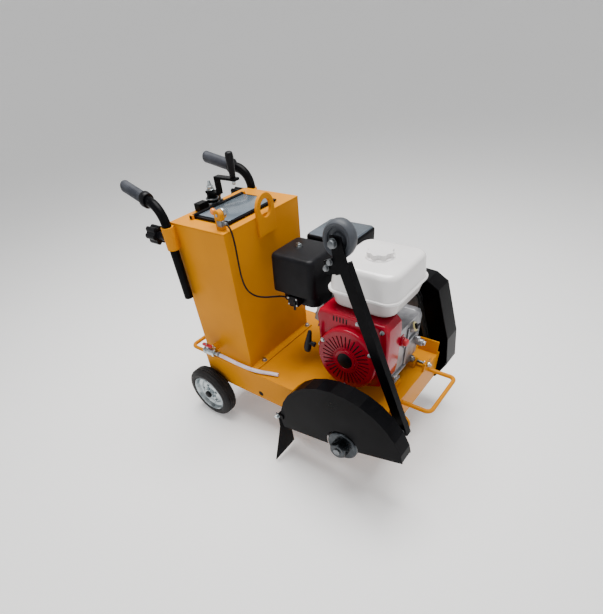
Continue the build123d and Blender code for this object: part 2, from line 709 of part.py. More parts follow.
def make_blade_guard():
    depth = guard_inner - guard_outer
    lug_x = deck_rear + 790.0
    hinge_x = flap_hinge_x
    with BuildPart() as guard:
        plate(side_plane(guard_outer), xz(guard_outline(0.0)), depth)
        plate(side_plane(guard_outer + guard_sheet), xz(guard_outline(guard_sheet)),
              depth - 2 * guard_sheet, mode=Mode.SUBTRACT)
        low = [(guard_rear_x - 20.0, guard_chord_rear + 3.0), (blade_x, guard_chord_middle + 5.0),
               (guard_nose_x + 20.0, guard_chord_nose + 10.0), (guard_nose_x + 20.0, guard_chord_rear - 60.0),
               (guard_rear_x - 20.0, guard_chord_rear - 60.0)]
        plate(side_plane(guard_outer + guard_sheet), xz(low), depth - 2 * guard_sheet,
              mode=Mode.SUBTRACT)
        rod((blade_x, guard_outer - 1, blade_z), (blade_x, guard_outer + guard_sheet + 1, blade_z),
            flange_radius + 6.0, mode=Mode.SUBTRACT)
        rod((blade_x, guard_inner - guard_sheet - 1, blade_z), (blade_x, guard_inner + 1, blade_z),
            shaft_radius + 8.0, mode=Mode.SUBTRACT)
        block((blade_x - 25.5, blade_x + 25.5), (guard_inner - guard_sheet - 1, guard_inner + 1),
              (blade_z - 80.0, blade_z), mode=Mode.SUBTRACT)
        block((lug_x - 45.0, lug_x + 15.0), (guard_inner, deck_right + 56.0),
              (deck_height, deck_height + 8.0))
        for x in (deck_rear + 560.0, deck_rear + 828.0):
            block((x - 14.0, x + 14.0), (guard_inner, deck_right), (deck_height - 60.0, deck_height - 20.0))
        for y in (guard_outer - 5.0, guard_inner):
            block((hinge_x - 9.0, hinge_x + 26.0), (y, y + 5.0), (flap_top - 9.0, flap_top + 9.0))
        rod((hinge_x, guard_outer - 6.0, flap_top), (hinge_x, guard_inner + 6.0, flap_top),
            flap_hinge_radius + running, mode=Mode.SUBTRACT)
    keep(guard.part, "blade_guard")


def make_guard_flap():
    """Splash flap that hangs behind the guard's open end and widens towards the ground."""
    hinge_x = flap_hinge_x
    face = Plane((hinge_x - 3.0, 0, 0), x_dir=(0, 1, 0), z_dir=(1, 0, 0))
    outline = [(guard_outer + gap, flap_top), (guard_inner - gap, flap_top),
               (guard_inner - gap, 150.0), (guard_inner + 10.0, 22.0), (deck_right - guard_side_reach, 14.0),
               (guard_outer + gap, 165.0)]
    with BuildPart() as flap:
        plate(face, outline, 4.0)
        rod((hinge_x, guard_outer - 8.0, flap_top), (hinge_x, guard_inner + 8.0, flap_top),
            flap_hinge_radius)
    keep(flap.part, "guard_flap")


def make_belt_guard():
    """Sheet cover over both pulleys, open towards the deck."""
    inner, outer = deck_left + 1.0, deck_left + belt_side_reach
    wall = 3.0
    outline = [(590.0, 470.0), (600.0, 535.0), (655.0, 570.0), (741.0, 565.0), (790.0, 540.0),
               (832.0, 436.0), (864.0, 360.0), (884.0, 250.0), (850.0, 176.0), (760.0, 158.0),
               (672.0, 186.0)]
    points = [(deck_rear + x, z) for x, z in outline]
    with BuildPart() as guard:
        with BuildSketch(side_plane(inner)) as shape:
            with BuildLine():
                Polyline(xz(points), close=True)
            make_face()
        extrude(shape.sketch, amount=outer - inner)
        with BuildSketch(side_plane(inner - 1.0)) as hollow:
            with BuildLine():
                Polyline(xz(points), close=True)
            make_face()
            offset(amount=-wall, mode=Mode.REPLACE, kind=Kind.INTERSECTION)
        extrude(hollow.sketch, amount=outer - inner + 1.0 - wall, mode=Mode.SUBTRACT)
        for x in (blade_x + 71.0, blade_x - 73.0):
            block((x - 8.0, x + 8.0), (deck_left, outer - wall), (blade_z - 24.0, blade_z - 18.0))
    keep(guard.part, "belt_guard")


# ---------------------------------------------------------------- engine
def make_engine_base():
    with BuildPart() as base:
        for y in (deck_right + 205.0, deck_right + 352.0):
            block((block_rear - 20.0, block_front + 20.0), (y, y + 40.0), (deck_height, engine_floor))
    keep(base.part, "engine_base")


def make_engine_block():
    """Crankcase and cylinder barrel in one hollow casting."""
    wall = 8.0
    left = block_left - cover_thick
    barrel = Plane((crank_x - 60.0, deck_right + 295.0, crank_z - 5.0), x_dir=(0, 1, 0),
                   z_dir=(-math.cos(0.3), 0, math.sin(0.3)))
    with BuildPart() as casting:
        block((block_rear, block_front), (block_right, left), (engine_floor, block_top))
        with BuildSketch(barrel) as outer:
            Rectangle(110.0, 90.0)
        extrude(outer.sketch, amount=175.0)
        block((block_rear + wall, block_front - wall), (block_right + wall, left + 1),
              (engine_floor + wall, block_top - wall), mode=Mode.SUBTRACT)
        with BuildSketch(barrel) as bore:
            Circle(40.0)
        extrude(bore.sketch, amount=150.0, mode=Mode.SUBTRACT)
        rod((crank_x, block_right - 1, crank_z), (crank_x, block_right + wall + 1, crank_z),
            crank_radius + running, mode=Mode.SUBTRACT)
        for x in (block_rear - 14.0, block_front - 6.0):
            block((x, x + 20.0), (block_right + 15.0, block_right + 55.0), (engine_floor, engine_floor + 12.0))
            block((x, x + 20.0), (left - 22.0, left), (engine_floor, engine_floor + 12.0))
    keep(casting.part, "engine_block")


def make_side_cover():
    left = block_left - cover_thick
    with BuildPart() as cover:
        block((block_rear, block_front), (left, left + cover_thick), (engine_floor, block_top))
        fillet(cover.edges().filter_by(Axis.Y), radius=28.0)
        rod((crank_x, left + cover_thick, crank_z), (crank_x, left + cover_thick + 24.0, crank_z), 34.0)
        rod((crank_x, left - 1, crank_z), (crank_x, left + cover_thick + 25.0, crank_z),
            crank_radius + running, mode=Mode.SUBTRACT)
    keep(cover.part, "side_cover")


def make_crank_train():
    with BuildPart() as crank:
        rod((crank_x, deck_right + 112.0, crank_z), (crank_x, pulley_outer + 2.0, crank_z), crank_radius)
        for y in (block_right + 70.0, block_right + 112.0):
            rod((crank_x, y, crank_z), (crank_x, y + 22.0, crank_z), 46.0)
    keep(crank.part, "crankshaft")
    with BuildPart() as flywheel:
        rod((crank_x, deck_right + 118.0, crank_z), (crank_x, deck_right + 158.0, crank_z), 88.0,
            crank_radius)
        rod((crank_x, deck_right + 132.0, crank_z), (crank_x, deck_right + 159.0, crank_z), 76.0, 30.0,
            mode=Mode.SUBTRACT)
    keep(flywheel.part, "flywheel")


def shroud_outline(x0, grow):
    """Fan housing seen from the recoil side, round below and square above."""
    points = []
    for angle in range(180, 301, 24):
        points.append((crank_x + (recoil_radius + 8.0 + grow) * math.cos(math.radians(angle)),
                       crank_z + (recoil_radius + 8.0 + grow) * math.sin(math.radians(angle))))
    points += [(x0 + 792.0 + grow, 378.0 - grow), (x0 + 800.0 + grow, 560.0), (x0 + 782.0 + grow, 602.0 + grow),
               (x0 + 545.0 - grow, 602.0 + grow), (x0 + 533.0 - grow, 585.0)]
    return points


def make_fan_shroud():
    face = recoil_face + recoil_depth
    wall = 3.0
    with BuildPart() as shroud:
        plate(side_plane(face), xz(shroud_outline(deck_rear, 0.0)), shroud_depth)
        plate(side_plane(face + wall), xz(shroud_outline(deck_rear, -wall)), shroud_depth,
              mode=Mode.SUBTRACT)
        rod((crank_x, face - 1, crank_z), (crank_x, face + wall + 1, crank_z), 92.0, mode=Mode.SUBTRACT)
        block((boss_x - 14.0, boss_x - 9.0), (boss_y - 19.0, boss_y + 17.0), (boss_z - 18.0, boss_z + 18.0))
        rod((boss_x - 14.0, boss_y, boss_z), (boss_x, boss_y, boss_z), 15.0)
        rod((boss_x - 11.0, boss_y, boss_z), (boss_x + 1.0, boss_y, boss_z), 4.0 + running,
            mode=Mode.SUBTRACT)
    keep(shroud.part, "fan_shroud")


def make_recoil_cover():
    """Starter housing: a shallow dish with radial air slots."""
    wall = 3.0
    with BuildPart() as cover:
        rod((crank_x, recoil_face, crank_z), (crank_x, recoil_face + recoil_depth, crank_z), recoil_radius)
        fillet(cover.edges().group_by(Axis.Y)[0], radius=9.0)
        rod((crank_x, recoil_face + wall, crank_z), (crank_x, recoil_face + recoil_depth + 1, crank_z),
            recoil_radius - wall, mode=Mode.SUBTRACT)
        with BuildSketch(Plane((crank_x, recoil_face - 1, crank_z), x_dir=(1, 0, 0), z_dir=(0, 1, 0))) as slots:
            with PolarLocations(70.0, 32):
                Rectangle(42.0, 5.0)
        extrude(slots.sketch, amount=wall + 2.0, mode=Mode.SUBTRACT)
    keep(cover.part, "recoil_cover")


def make_recoil_grip():
    """T-shaped pull with its neck against the starter housing's rim."""
    x, y, z = deck_rear + 521.0, recoil_face - 14.0, 492.0
    rim = crank_x - recoil_radius - gap
    with BuildPart() as pull:
        with BuildSketch(Plane((x, y, z - 46.0))):
            Ellipse(13.0, 9.0)
        extrude(amount=92.0)
        fillet(pull.edges().group_by(Axis.Z)[0] + pull.edges().group_by(Axis.Z)[-1], radius=4.0)
        rod((x, y, z), (rim - 6.0, y, z - 4.0), 6.0)
    keep(pull.part, "recoil_grip")


def make_stop_switch():
    with BuildPart() as switch:
        rod((boss_x + gap, boss_y, boss_z), (boss_x + 9.0, boss_y, boss_z), 12.0)
        block((boss_x + 9.0, boss_x + 15.0), (boss_y - 3.0, boss_y + 3.0), (boss_z - 11.0, boss_z + 11.0))
        rod((boss_x - 10.0, boss_y, boss_z), (boss_x + gap, boss_y, boss_z), 4.0)
    keep(switch.part, "stop_switch")


def make_fuel_tank():
    """Two pressed halves seamed at a rim, hollow, with a filler neck."""
    x = (deck_rear + fuel_x[0], deck_rear + fuel_x[1])
    y = (deck_right + fuel_y[0], deck_right + fuel_y[1])
    middle = ((x[0] + x[1]) / 2, (y[0] + y[1]) / 2)
    size = (x[1] - x[0], y[1] - y[0])
    rim = 6.0
    with BuildPart() as tank:
        for inset, mode in ((rim, Mode.ADD), (rim + fuel_wall, Mode.SUBTRACT)):
            skin = inset - rim
            with BuildSketch(Plane((*middle, fuel_rim))) as upper:
                RectangleRounded(size[0] - 2 * inset, size[1] - 2 * inset, 40.0 - skin)
            extrude(upper.sketch, amount=fuel_high - fuel_rim - skin, taper=5.0, mode=mode)
            with BuildSketch(Plane((*middle, fuel_rim), z_dir=(0, 0, -1))) as lower:
                RectangleRounded(size[0] - 2 * inset, size[1] - 2 * inset, 40.0 - skin)
            extrude(lower.sketch, amount=fuel_rim - fuel_low - skin, taper=14.0, mode=mode)
        with BuildSketch(Plane((*middle, fuel_rim - 3.0))) as seam:
            RectangleRounded(size[0], size[1], 46.0)
            RectangleRounded(size[0] - 2 * rim - 2.0, size[1] - 2 * rim - 2.0, 39.0, mode=Mode.SUBTRACT)
        extrude(seam.sketch, amount=6.0)
        rod((*middle, fuel_high - 20.0), (*middle, fuel_high + 20.0), neck_radius, mode=Mode.SUBTRACT)
    keep(tank.part, "fuel_tank")


def make_fuel_cap():
    x = deck_rear + sum(fuel_x) / 2
    y = deck_right + sum(fuel_y) / 2
    with BuildPart() as cap:
        with BuildSketch(Plane((x, y, fuel_high + gap))):
            Circle(cap_radius - 6.0)
            with PolarLocations(cap_radius - 10.0, 8):
                Circle(10.0)
        extrude(amount=cap_top - fuel_high - gap)
        rod((x, y, fuel_high - 12.0), (x, y, fuel_high + gap), neck_radius - running)
    keep(cap.part, "fuel_cap")


def hollow_box(x, y, z, radius, wall):
    """A rounded box cover, open at the bottom."""
    middle = ((x[0] + x[1]) / 2, (y[0] + y[1]) / 2)
    for skin, mode in ((0.0, Mode.ADD), (wall, Mode.SUBTRACT)):
        with BuildSketch(Plane((*middle, z[0] - skin))) as outline:
            RectangleRounded(x[1] - x[0] - 2 * skin, y[1] - y[0] - 2 * skin, radius - skin)
        extrude(outline.sketch, amount=z[1] - z[0], mode=mode)


def make_air_cleaner():
    x = (deck_rear + cleaner_x[0], deck_rear + cleaner_x[1])
    y = (deck_right + cleaner_y[0], deck_right + cleaner_y[1])
    with BuildPart() as cover:
        hollow_box(x, y, cleaner_z, 22.0, 3.0)
    keep(cover.part, "air_cleaner")
    with BuildPart() as base:
        block((x[0] + 12.0, x[1] - 12.0), (y[0] + 34.0, y[1] - 14.0), (cleaner_z[0] - 48.0, cleaner_z[0]))
        fillet(base.edges().filter_by(Axis.Z), radius=30.0)
        block((x[0] + 1.0, x[1] - 1.0), (y[0] + 34.0, y[1] - 20.0), (cleaner_z[0] - 6.0, cleaner_z[0]))
    keep(base.part, "air_cleaner_base")


def make_muffler():
    x = (deck_rear + muffler_x[0], deck_rear + muffler_x[1])
    y = (deck_right + muffler_y[0], deck_right + muffler_y[1])
    with BuildPart() as muffler:
        hollow_box(x, y, muffler_z, 16.0, 2.5)
        block((x[0] + 2.0, x[1] - 2.0), (y[0] + 4.0, y[1] - 4.0), (muffler_z[0], muffler_z[0] + 2.5))
        block((x[0] + 60.0, x[0] + 110.0), (y[0] + 20.0, y[0] + 60.0), (muffler_z[0] - 42.0, muffler_z[0]))
    keep(muffler.part, "muffler")


def make_carburettor():
    x, face, z = deck_rear + 385.0, deck_right + cleaner_y[0] + 4.0, 574.0
    lever_x, lever_z = x + 32.0, z - 2.0
    with BuildPart() as body:
        block((x, x + 46.0), (face, face + 30.0), (z - 17.0, z + 17.0))
        fillet(body.edges().filter_by(Axis.Y), radius=6.0)
        rod((lever_x, face - 1, lever_z), (lever_x, face + 12.0, lever_z), 3.0 + running,
            mode=Mode.SUBTRACT)
    keep(body.part, "carburettor")
    with BuildPart() as lever:
        rod((lever_x, face - 4.0, lever_z), (lever_x, face + 10.0, lever_z), 3.0)
        block((lever_x - 4.0, lever_x + 4.0), (face - 4.0, face - gap), (lever_z - 26.0, lever_z + 5.0))
    keep(lever.part, "choke_lever")


# ---------------------------------------------------------------- pointer
def make_pointer():
    """Leaning square tube with an end plate, an angled pointer plate and a guide wheel."""
    lean = math.radians(arm_lean)
    up = Vector(-math.sin(lean), 0, math.cos(lean))
    foot = Vector(arm_pivot_x, arm_y, arm_pivot_z)
    tip = foot + up * arm_length
    bolt = tip + Vector(-24.0, 0, 56.0)
    wheel_y = arm_y + arm_depth / 2 + 4.0
    along = Plane(foot - up * 24.0, x_dir=(0, 1, 0), z_dir=up)
    with BuildPart() as arm:
        with BuildSketch(along) as section:
            Rectangle(arm_depth, arm_width)
            Rectangle(arm_depth - 6.0, arm_width - 6.0, mode=Mode.SUBTRACT)
        extrude(section.sketch, amount=arm_length + 24.0)
        reach = Plane((0, arm_y - arm_depth / 2, 0), x_dir=(1, 0, 0), z_dir=(0, 1, 0))
        cheek = [(tip.X - 21.0, tip.Z - 30.0), (tip.X + 21.0, tip.Z - 12.0), (bolt.X + 17.0, bolt.Z + 14.0),
                 (bolt.X - 17.0, bolt.Z + 14.0)]
        plate(reach, xz(cheek), 6.0)
        wing = [(tip.X - 16.0, tip.Z - 26.0), (tip.X - 56.0, tip.Z - 34.0), (tip.X - 60.0, tip.Z + 2.0),
                (tip.X - 10.0, tip.Z + 26.0)]
        plate(reach, xz(wing), 6.0)
        rod((foot.X, arm_y - arm_depth / 2 - 6.0, foot.Z), (foot.X, arm_y + arm_depth / 2 + 16.0, foot.Z), 8.0)
        rod((bolt.X, arm_y - arm_depth / 2 - 8.0, bolt.Z), (bolt.X, wheel_y + pointer_wheel_width + 4.0, bolt.Z),
            6.0)
    keep(arm.part, "pointer_arm")
    with BuildPart() as wheel:
        rod((bolt.X, arm_y - arm_depth / 2 + 8.0, bolt.Z),
            (bolt.X, arm_y - arm_depth / 2 + 8.0 + pointer_wheel_width, bolt.Z),
            pointer_wheel_radius, 6.0 + running)
        treads = wheel.edges().filter_by(GeomType.CIRCLE).sort_by(SortBy.RADIUS)[-2:]
        fillet(treads, radius=6.0)
    keep(wheel.part, "pointer_wheel")


# ---------------------------------------------------------------- fasteners
def hex_head(at, way, size):
    """A hexagon bolt head standing on a face. size is half its width across flats."""
    with BuildSketch(Plane(at, z_dir=way)) as head:
        RegularPolygon(size, 6, major_radius=False)
    extrude(head.sketch, amount=size * 0.8)


def make_hex_bolts():
    flange_z = deck_height + 6.0
    with BuildPart() as bolts:
        for y in (tank_right + 64.0, tank_left - 18.0):
            hex_head((tank_front + flange_reach / 2, y, flange_z), (0, 0, 1), 8.0)
        rod((block_front + 20.0, tension_y, tension_z), (deck_front + 14.0, tension_y, tension_z), 6.0)
        hex_head((deck_front - 44.0, deck_left - 16.0, deck_height + 34.0), (0, 1, 0), 9.0)
        hex_head((deck_rear + 790.0, deck_right + 40.0, deck_height + 8.0), (0, 0, 1), 8.0)
    keep(bolts.part, "hex_bolts")


# ---------------------------------------------------------------- cords
hose_route = [(118, -27, 348), (144, -27, 348), (181, -22, 340), (223, -11, 325), (266, 2, 311.5),
              (309, 14, 307.4), (347, 26, 307.8), (381, 36, 307.2)]
cable_route = [(234, 48, 826), (252, 48, 826), (268, 45, 809), (276, 41, 770), (278, 38, 722),
               (277, 39, 672), (279, 48, 626), (290, 71, 595), (311, 101, 581), (333, 131, 576),
               (357, 151, 574), (385, 151, 574)]


def on_deck(points):
    """Points given from the deck's rear right corner."""
    return [(deck_rear + x, deck_right + y, z) for x, y, z in points]


def make_cords():
    cord("water_hose", on_deck(hose_route), 7.5)
    cord("throttle_cable", on_deck(cable_route), 3.0)


# ---------------------------------------------------------------- build everything
make_deck_plate()
make_deck_skirts()
make_bumper_bars()
make_tank_shell()
make_tank_top()
make_tank_lid()
make_lifting_eye()
make_outlet_valve()
make_rear_axle()
make_rear_wheel("right", deck_right - rear_wheel_gap, -1)
make_rear_wheel("left", deck_left + rear_wheel_gap, 1)
make_front_wheels()
make_lift_frame()
make_lift_nut()
make_crank_bearing()
make_crank()
make_handle_sleeves()
make_handle("right", tank_right - sleeve_stand_off, 1)
make_handle("left", tank_left + sleeve_stand_off, -1)
make_knob("right", tank_right - sleeve_stand_off)
make_knob("left", tank_left + sleeve_stand_off)
make_throttle_lever()
make_shaft_bearings()
make_blade_shaft()
make_outer_flange_and_nut()
make_pulleys()
make_v_belts()
make_blade_guard()
make_guard_flap()
make_belt_guard()
make_engine_base()
make_engine_block()
make_side_cover()
make_crank_train()
make_fan_shroud()
make_recoil_cover()
make_recoil_grip()
make_stop_switch()
make_fuel_tank()
make_fuel_cap()
make_air_cleaner()
make_muffler()
make_carburettor()
make_pointer()
make_hex_bolts()
make_cords()
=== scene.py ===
"""Looks of the walk-behind concrete saw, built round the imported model. Metres, Z up, +X forward."""
import json
import math

import bmesh
import bpy
from mathutils import Matrix, Vector


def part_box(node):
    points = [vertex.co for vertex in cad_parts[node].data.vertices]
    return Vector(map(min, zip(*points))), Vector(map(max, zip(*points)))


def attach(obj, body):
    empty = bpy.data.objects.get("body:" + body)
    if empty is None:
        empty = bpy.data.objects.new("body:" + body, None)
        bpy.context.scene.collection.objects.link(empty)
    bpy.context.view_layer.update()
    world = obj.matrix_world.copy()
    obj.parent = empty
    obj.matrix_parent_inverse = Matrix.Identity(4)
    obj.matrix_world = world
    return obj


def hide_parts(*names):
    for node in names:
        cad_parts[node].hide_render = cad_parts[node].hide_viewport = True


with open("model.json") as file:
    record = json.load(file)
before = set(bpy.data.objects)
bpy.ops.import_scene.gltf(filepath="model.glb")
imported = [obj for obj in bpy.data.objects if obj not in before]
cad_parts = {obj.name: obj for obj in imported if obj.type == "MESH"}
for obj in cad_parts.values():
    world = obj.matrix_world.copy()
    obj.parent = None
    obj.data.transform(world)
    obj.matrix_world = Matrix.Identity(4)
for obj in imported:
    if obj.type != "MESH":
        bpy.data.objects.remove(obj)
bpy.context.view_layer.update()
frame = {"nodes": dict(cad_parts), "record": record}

deck_low, deck_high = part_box("deck_plate")
MM = 0.001

# places in mm from the deck's rear right corner, heights from the ground
arbor_x, arbor_z = 755, 231           # blade shaft
crank_x, crank_z = 661, 455           # engine crankshaft
screw_x, screw_y = 27, 205            # lifting screw
throttle_x, throttle_z = 221, 848     # throttle lever's pivot
valve_y, valve_z = -27, 348           # water valve and hose
tension_y, tension_z = 380, 316       # belt tension screw
arm_bolt_y = 39                       # outer face of the pointer arm
tank_seam_z = 0.662                   # fuel tank's seam, in m


def at(x, y, z):
    """A point in mm from the deck's rear right corner, with z from the ground."""
    return Vector((deck_low.x + x * MM, deck_low.y + y * MM, z * MM))


# ---------------------------------------------------------------- camera, floor and light
def turned(azimuth, elevation, roll):
    """Camera rotation from its azimuth round the machine, its elevation and its roll, in degrees."""
    a, e, r = (math.radians(v) for v in (azimuth, elevation, roll))
    back = Vector((math.sin(a) * math.cos(e), -math.cos(a) * math.cos(e), math.sin(e)))
    across = (-back).cross(Vector((0, 0, 1))).normalized()
    upward = across.cross(-back)
    right = across * math.cos(r) + upward * math.sin(r)
    top = upward * math.cos(r) - across * math.sin(r)
    return Matrix((right, top, back)).transposed()


def make_camera():
    """Looks down at the machine's front right corner."""
    data = bpy.data.cameras.new("camera")
    camera = bpy.data.objects.new("camera", data)
    bpy.context.scene.collection.objects.link(camera)
    camera.location = at(1215.8, -814.6, 1239.4)
    camera.rotation_euler = turned(41.94, 49.53, -6.84).to_euler()
    data.sensor_width = 36.0
    data.lens = 22.005
    data.shift_x = 0.0016
    data.shift_y = 0.2314
    data.clip_start = 0.01
    bpy.context.scene.camera = camera


def make_area_light(name, place, target, size, power, colour):
    data = bpy.data.lights.new(name, "AREA")
    data.shape = "DISK"
    data.size = size
    data.energy = power
    data.color = colour
    lamp = bpy.data.objects.new(name, data)
    bpy.context.scene.collection.objects.link(lamp)
    lamp.location = place
    lamp.rotation_euler = (target - place).to_track_quat("-Z", "Y").to_euler()


def make_studio():
    """A pale floor that curves up all round, a soft sky and three broad lamps."""
    floor = turned_shape([(0.0, 0.0), (7.0, 0.0), (9.0, 0.3), (10.6, 1.2), (11.6, 2.7), (12.0, 5.0),
                          (12.0, 9.0)], Vector((0, 0, 0)), (0, 0, 1), 64, closed=False)
    floor.name = "floor"
    floor.data.materials.append(plain("floor_white", (0.92, 0.92, 0.92), 0.9, glow=0.22))
    smooth(floor, 60.0)
    world = bpy.data.worlds.new("studio")
    world.use_nodes = True
    sky = world.node_tree.nodes["Background"]
    sky.inputs["Color"].default_value = (1.0, 1.0, 1.0, 1.0)
    sky.inputs["Strength"].default_value = 0.27
    bpy.context.scene.world = world
    middle = Vector((0.0, 0.0, 0.45))
    make_area_light("top_light", Vector((-0.2, 0.3, 3.2)), middle, 2.2, 175.0, (1.0, 0.99, 0.97))
    make_area_light("front_light", Vector((2.8, -0.8, 1.9)), middle, 1.2, 8.0, (1.0, 1.0, 1.0))
    make_area_light("side_light", Vector((-0.9, -2.8, 1.8)), middle, 1.4, 9.0, (1.0, 0.98, 0.96))


# ---------------------------------------------------------------- materials
def new_material(name):
    material = bpy.data.materials.new(name)
    material.use_nodes = True
    nodes = material.node_tree.nodes
    return material, nodes, material.node_tree.links, nodes["Principled BSDF"]


def plain(name, colour, rough, glow):
    """A simple matt surface for the studio, which isn't part of the machine."""
    material, _, _, shader = new_material(name)
    shader.inputs["Emission Color"].default_value = (*colour, 1.0)
    shader.inputs["Emission Strength"].default_value = glow
    shader.inputs["Base Color"].default_value = (*colour, 1.0)
    shader.inputs["Roughness"].default_value = rough
    return material


def noise(nodes, links, scale, detail=3.0, stretch=(1, 1, 1)):
    """Noise on Object coordinates, so that it stays with the piece."""
    where = nodes.new("ShaderNodeTexCoord")
    mapping = nodes.new("ShaderNodeMapping")
    mapping.inputs["Scale"].default_value = stretch
    pattern = nodes.new("ShaderNodeTexNoise")
    pattern.inputs["Scale"].default_value = scale
    pattern.inputs["Detail"].default_value = detail
    links.new(where.outputs["Object"], mapping.inputs["Vector"])
    links.new(mapping.outputs["Vector"], pattern.inputs["Vector"])
    return pattern.outputs["Fac"]


def ramp(nodes, links, source, low, high, start=0.35, end=0.65):
    """Turns a pattern into a blend of two colours."""
    node = nodes.new("ShaderNodeValToRGB")
    node.color_ramp.elements[0].position = start
    node.color_ramp.elements[1].position = end
    node.color_ramp.elements[0].color = (*low, 1.0)
    node.color_ramp.elements[1].color = (*high, 1.0)
    links.new(source, node.inputs["Fac"])
    return node.outputs["Color"]


def spread(nodes, links, source, low, high):
    """Maps a pattern onto a range of values."""
    node = nodes.new("ShaderNodeMapRange")
    node.inputs["To Min"].default_value = low
    node.inputs["To Max"].default_value = high
    links.new(source, node.inputs["Value"])
    return node.outputs["Result"]


def bump(nodes, links, shader, source, strength, distance):
    node = nodes.new("ShaderNodeBump")
    node.inputs["Strength"].default_value = strength
    node.inputs["Distance"].default_value = distance
    links.new(source, node.inputs["Height"])
    links.new(node.outputs["Normal"], shader.inputs["Normal"])


def mottled(name, dark, light, rough=(0.3, 0.45), metal=0.0, patch=6.0, grain=400.0, depth=0.15,
            height=0.0004, coat=0.0, stretch=(1, 1, 1), specular=0.5):
    """A finish with soft patches of colour, uneven gloss and a fine surface grain."""
    material, nodes, links, shader = new_material(name)
    patches = noise(nodes, links, patch, 4.0)
    fine = noise(nodes, links, grain, 2.0, stretch)
    links.new(ramp(nodes, links, patches, dark, light), shader.inputs["Base Color"])
    links.new(spread(nodes, links, patches, *rough), shader.inputs["Roughness"])
    bump(nodes, links, shader, fine, depth, height)
    shader.inputs["Metallic"].default_value = metal
    shader.inputs["Coat Weight"].default_value = coat
    shader.inputs["Coat Roughness"].default_value = 0.12
    shader.inputs["Specular IOR Level"].default_value = specular
    return material


def make_hose_material():
    material, nodes, links, shader = new_material("clear_hose")
    cloud = noise(nodes, links, 30.0, 3.0)
    links.new(ramp(nodes, links, cloud, (0.72, 0.62, 0.74), (0.9, 0.84, 0.92)), shader.inputs["Base Color"])
    links.new(spread(nodes, links, cloud, 0.15, 0.3), shader.inputs["Roughness"])
    shader.inputs["Transmission Weight"].default_value = 0.25
    shader.inputs["Subsurface Weight"].default_value = 0.2
    shader.inputs["Subsurface Radius"].default_value = (0.01, 0.008, 0.01)
    return material


materials = {
    "yellow_paint": mottled("yellow_paint", (0.56, 0.205, 0.0), (0.64, 0.240, 0.0), (0.30, 0.42),
                            patch=5.0, grain=220.0, depth=0.12, height=0.0006, specular=0.06),
    "black_paint": mottled("black_paint", (0.0015, 0.0015, 0.002), (0.004, 0.004, 0.005), (0.24, 0.36),
                           patch=9.0, grain=260.0, depth=0.08, height=0.0003, specular=0.05),
    "black_plastic": mottled("black_plastic", (0.002, 0.002, 0.003), (0.006, 0.006, 0.008), (0.34, 0.48),
                             patch=14.0, grain=900.0, depth=0.25, height=0.0003, specular=0.14),
    "red_paint": mottled("red_paint", (0.27, 0.001, 0.014), (0.36, 0.002, 0.020), (0.14, 0.26),
                         patch=8.0, grain=150.0, depth=0.05, height=0.0004, coat=0.12, specular=0.2),
    "red_plastic": mottled("red_plastic", (0.42, 0.01, 0.02), (0.55, 0.02, 0.03), (0.3, 0.4), patch=40.0),
    "white_paint": mottled("white_paint", (0.78, 0.76, 0.755), (0.86, 0.845, 0.84), (0.16, 0.28),
                           patch=6.0, grain=120.0, depth=0.05, height=0.0004, coat=0.5),
    "zinc": mottled("zinc", (0.30, 0.34, 0.36), (0.55, 0.60, 0.62), (0.2, 0.4), metal=1.0,
                    patch=35.0, grain=300.0, depth=0.15, height=0.0003),
    "steel": mottled("steel", (0.10, 0.11, 0.12), (0.22, 0.23, 0.24), (0.35, 0.5), metal=0.9,
                     patch=30.0, grain=500.0, depth=0.2, height=0.0003),
    "cast_aluminium": mottled("cast_aluminium", (0.22, 0.22, 0.235), (0.38, 0.38, 0.40), (0.34, 0.5),
                              metal=0.85, patch=25.0, grain=700.0, depth=0.5, height=0.0005),
    "tyre_rubber": mottled("tyre_rubber", (0.004, 0.004, 0.005), (0.014, 0.012, 0.012), (0.5, 0.7),
                           patch=18.0, grain=600.0, depth=0.35, height=0.0004, specular=0.25),
    "grip_rubber": mottled("grip_rubber", (0.026, 0.029, 0.038), (0.05, 0.054, 0.066), (0.42, 0.55),
                           patch=25.0, grain=900.0, depth=0.35, height=0.0003, specular=0.2),
    "belt_rubber": mottled("belt_rubber", (0.008, 0.008, 0.008), (0.02, 0.02, 0.02), (0.6, 0.8)),
    "grey_plastic": mottled("grey_plastic", (0.03, 0.034, 0.042), (0.058, 0.064, 0.075), (0.4, 0.55),
                            patch=20.0, grain=700.0, depth=0.25, height=0.0003, specular=0.25),
    "hose_plastic": make_hose_material(),
    "orange_plastic": mottled("orange_plastic", (0.75, 0.2, 0.005), (0.85, 0.27, 0.01), (0.2, 0.3), coat=0.4),
}
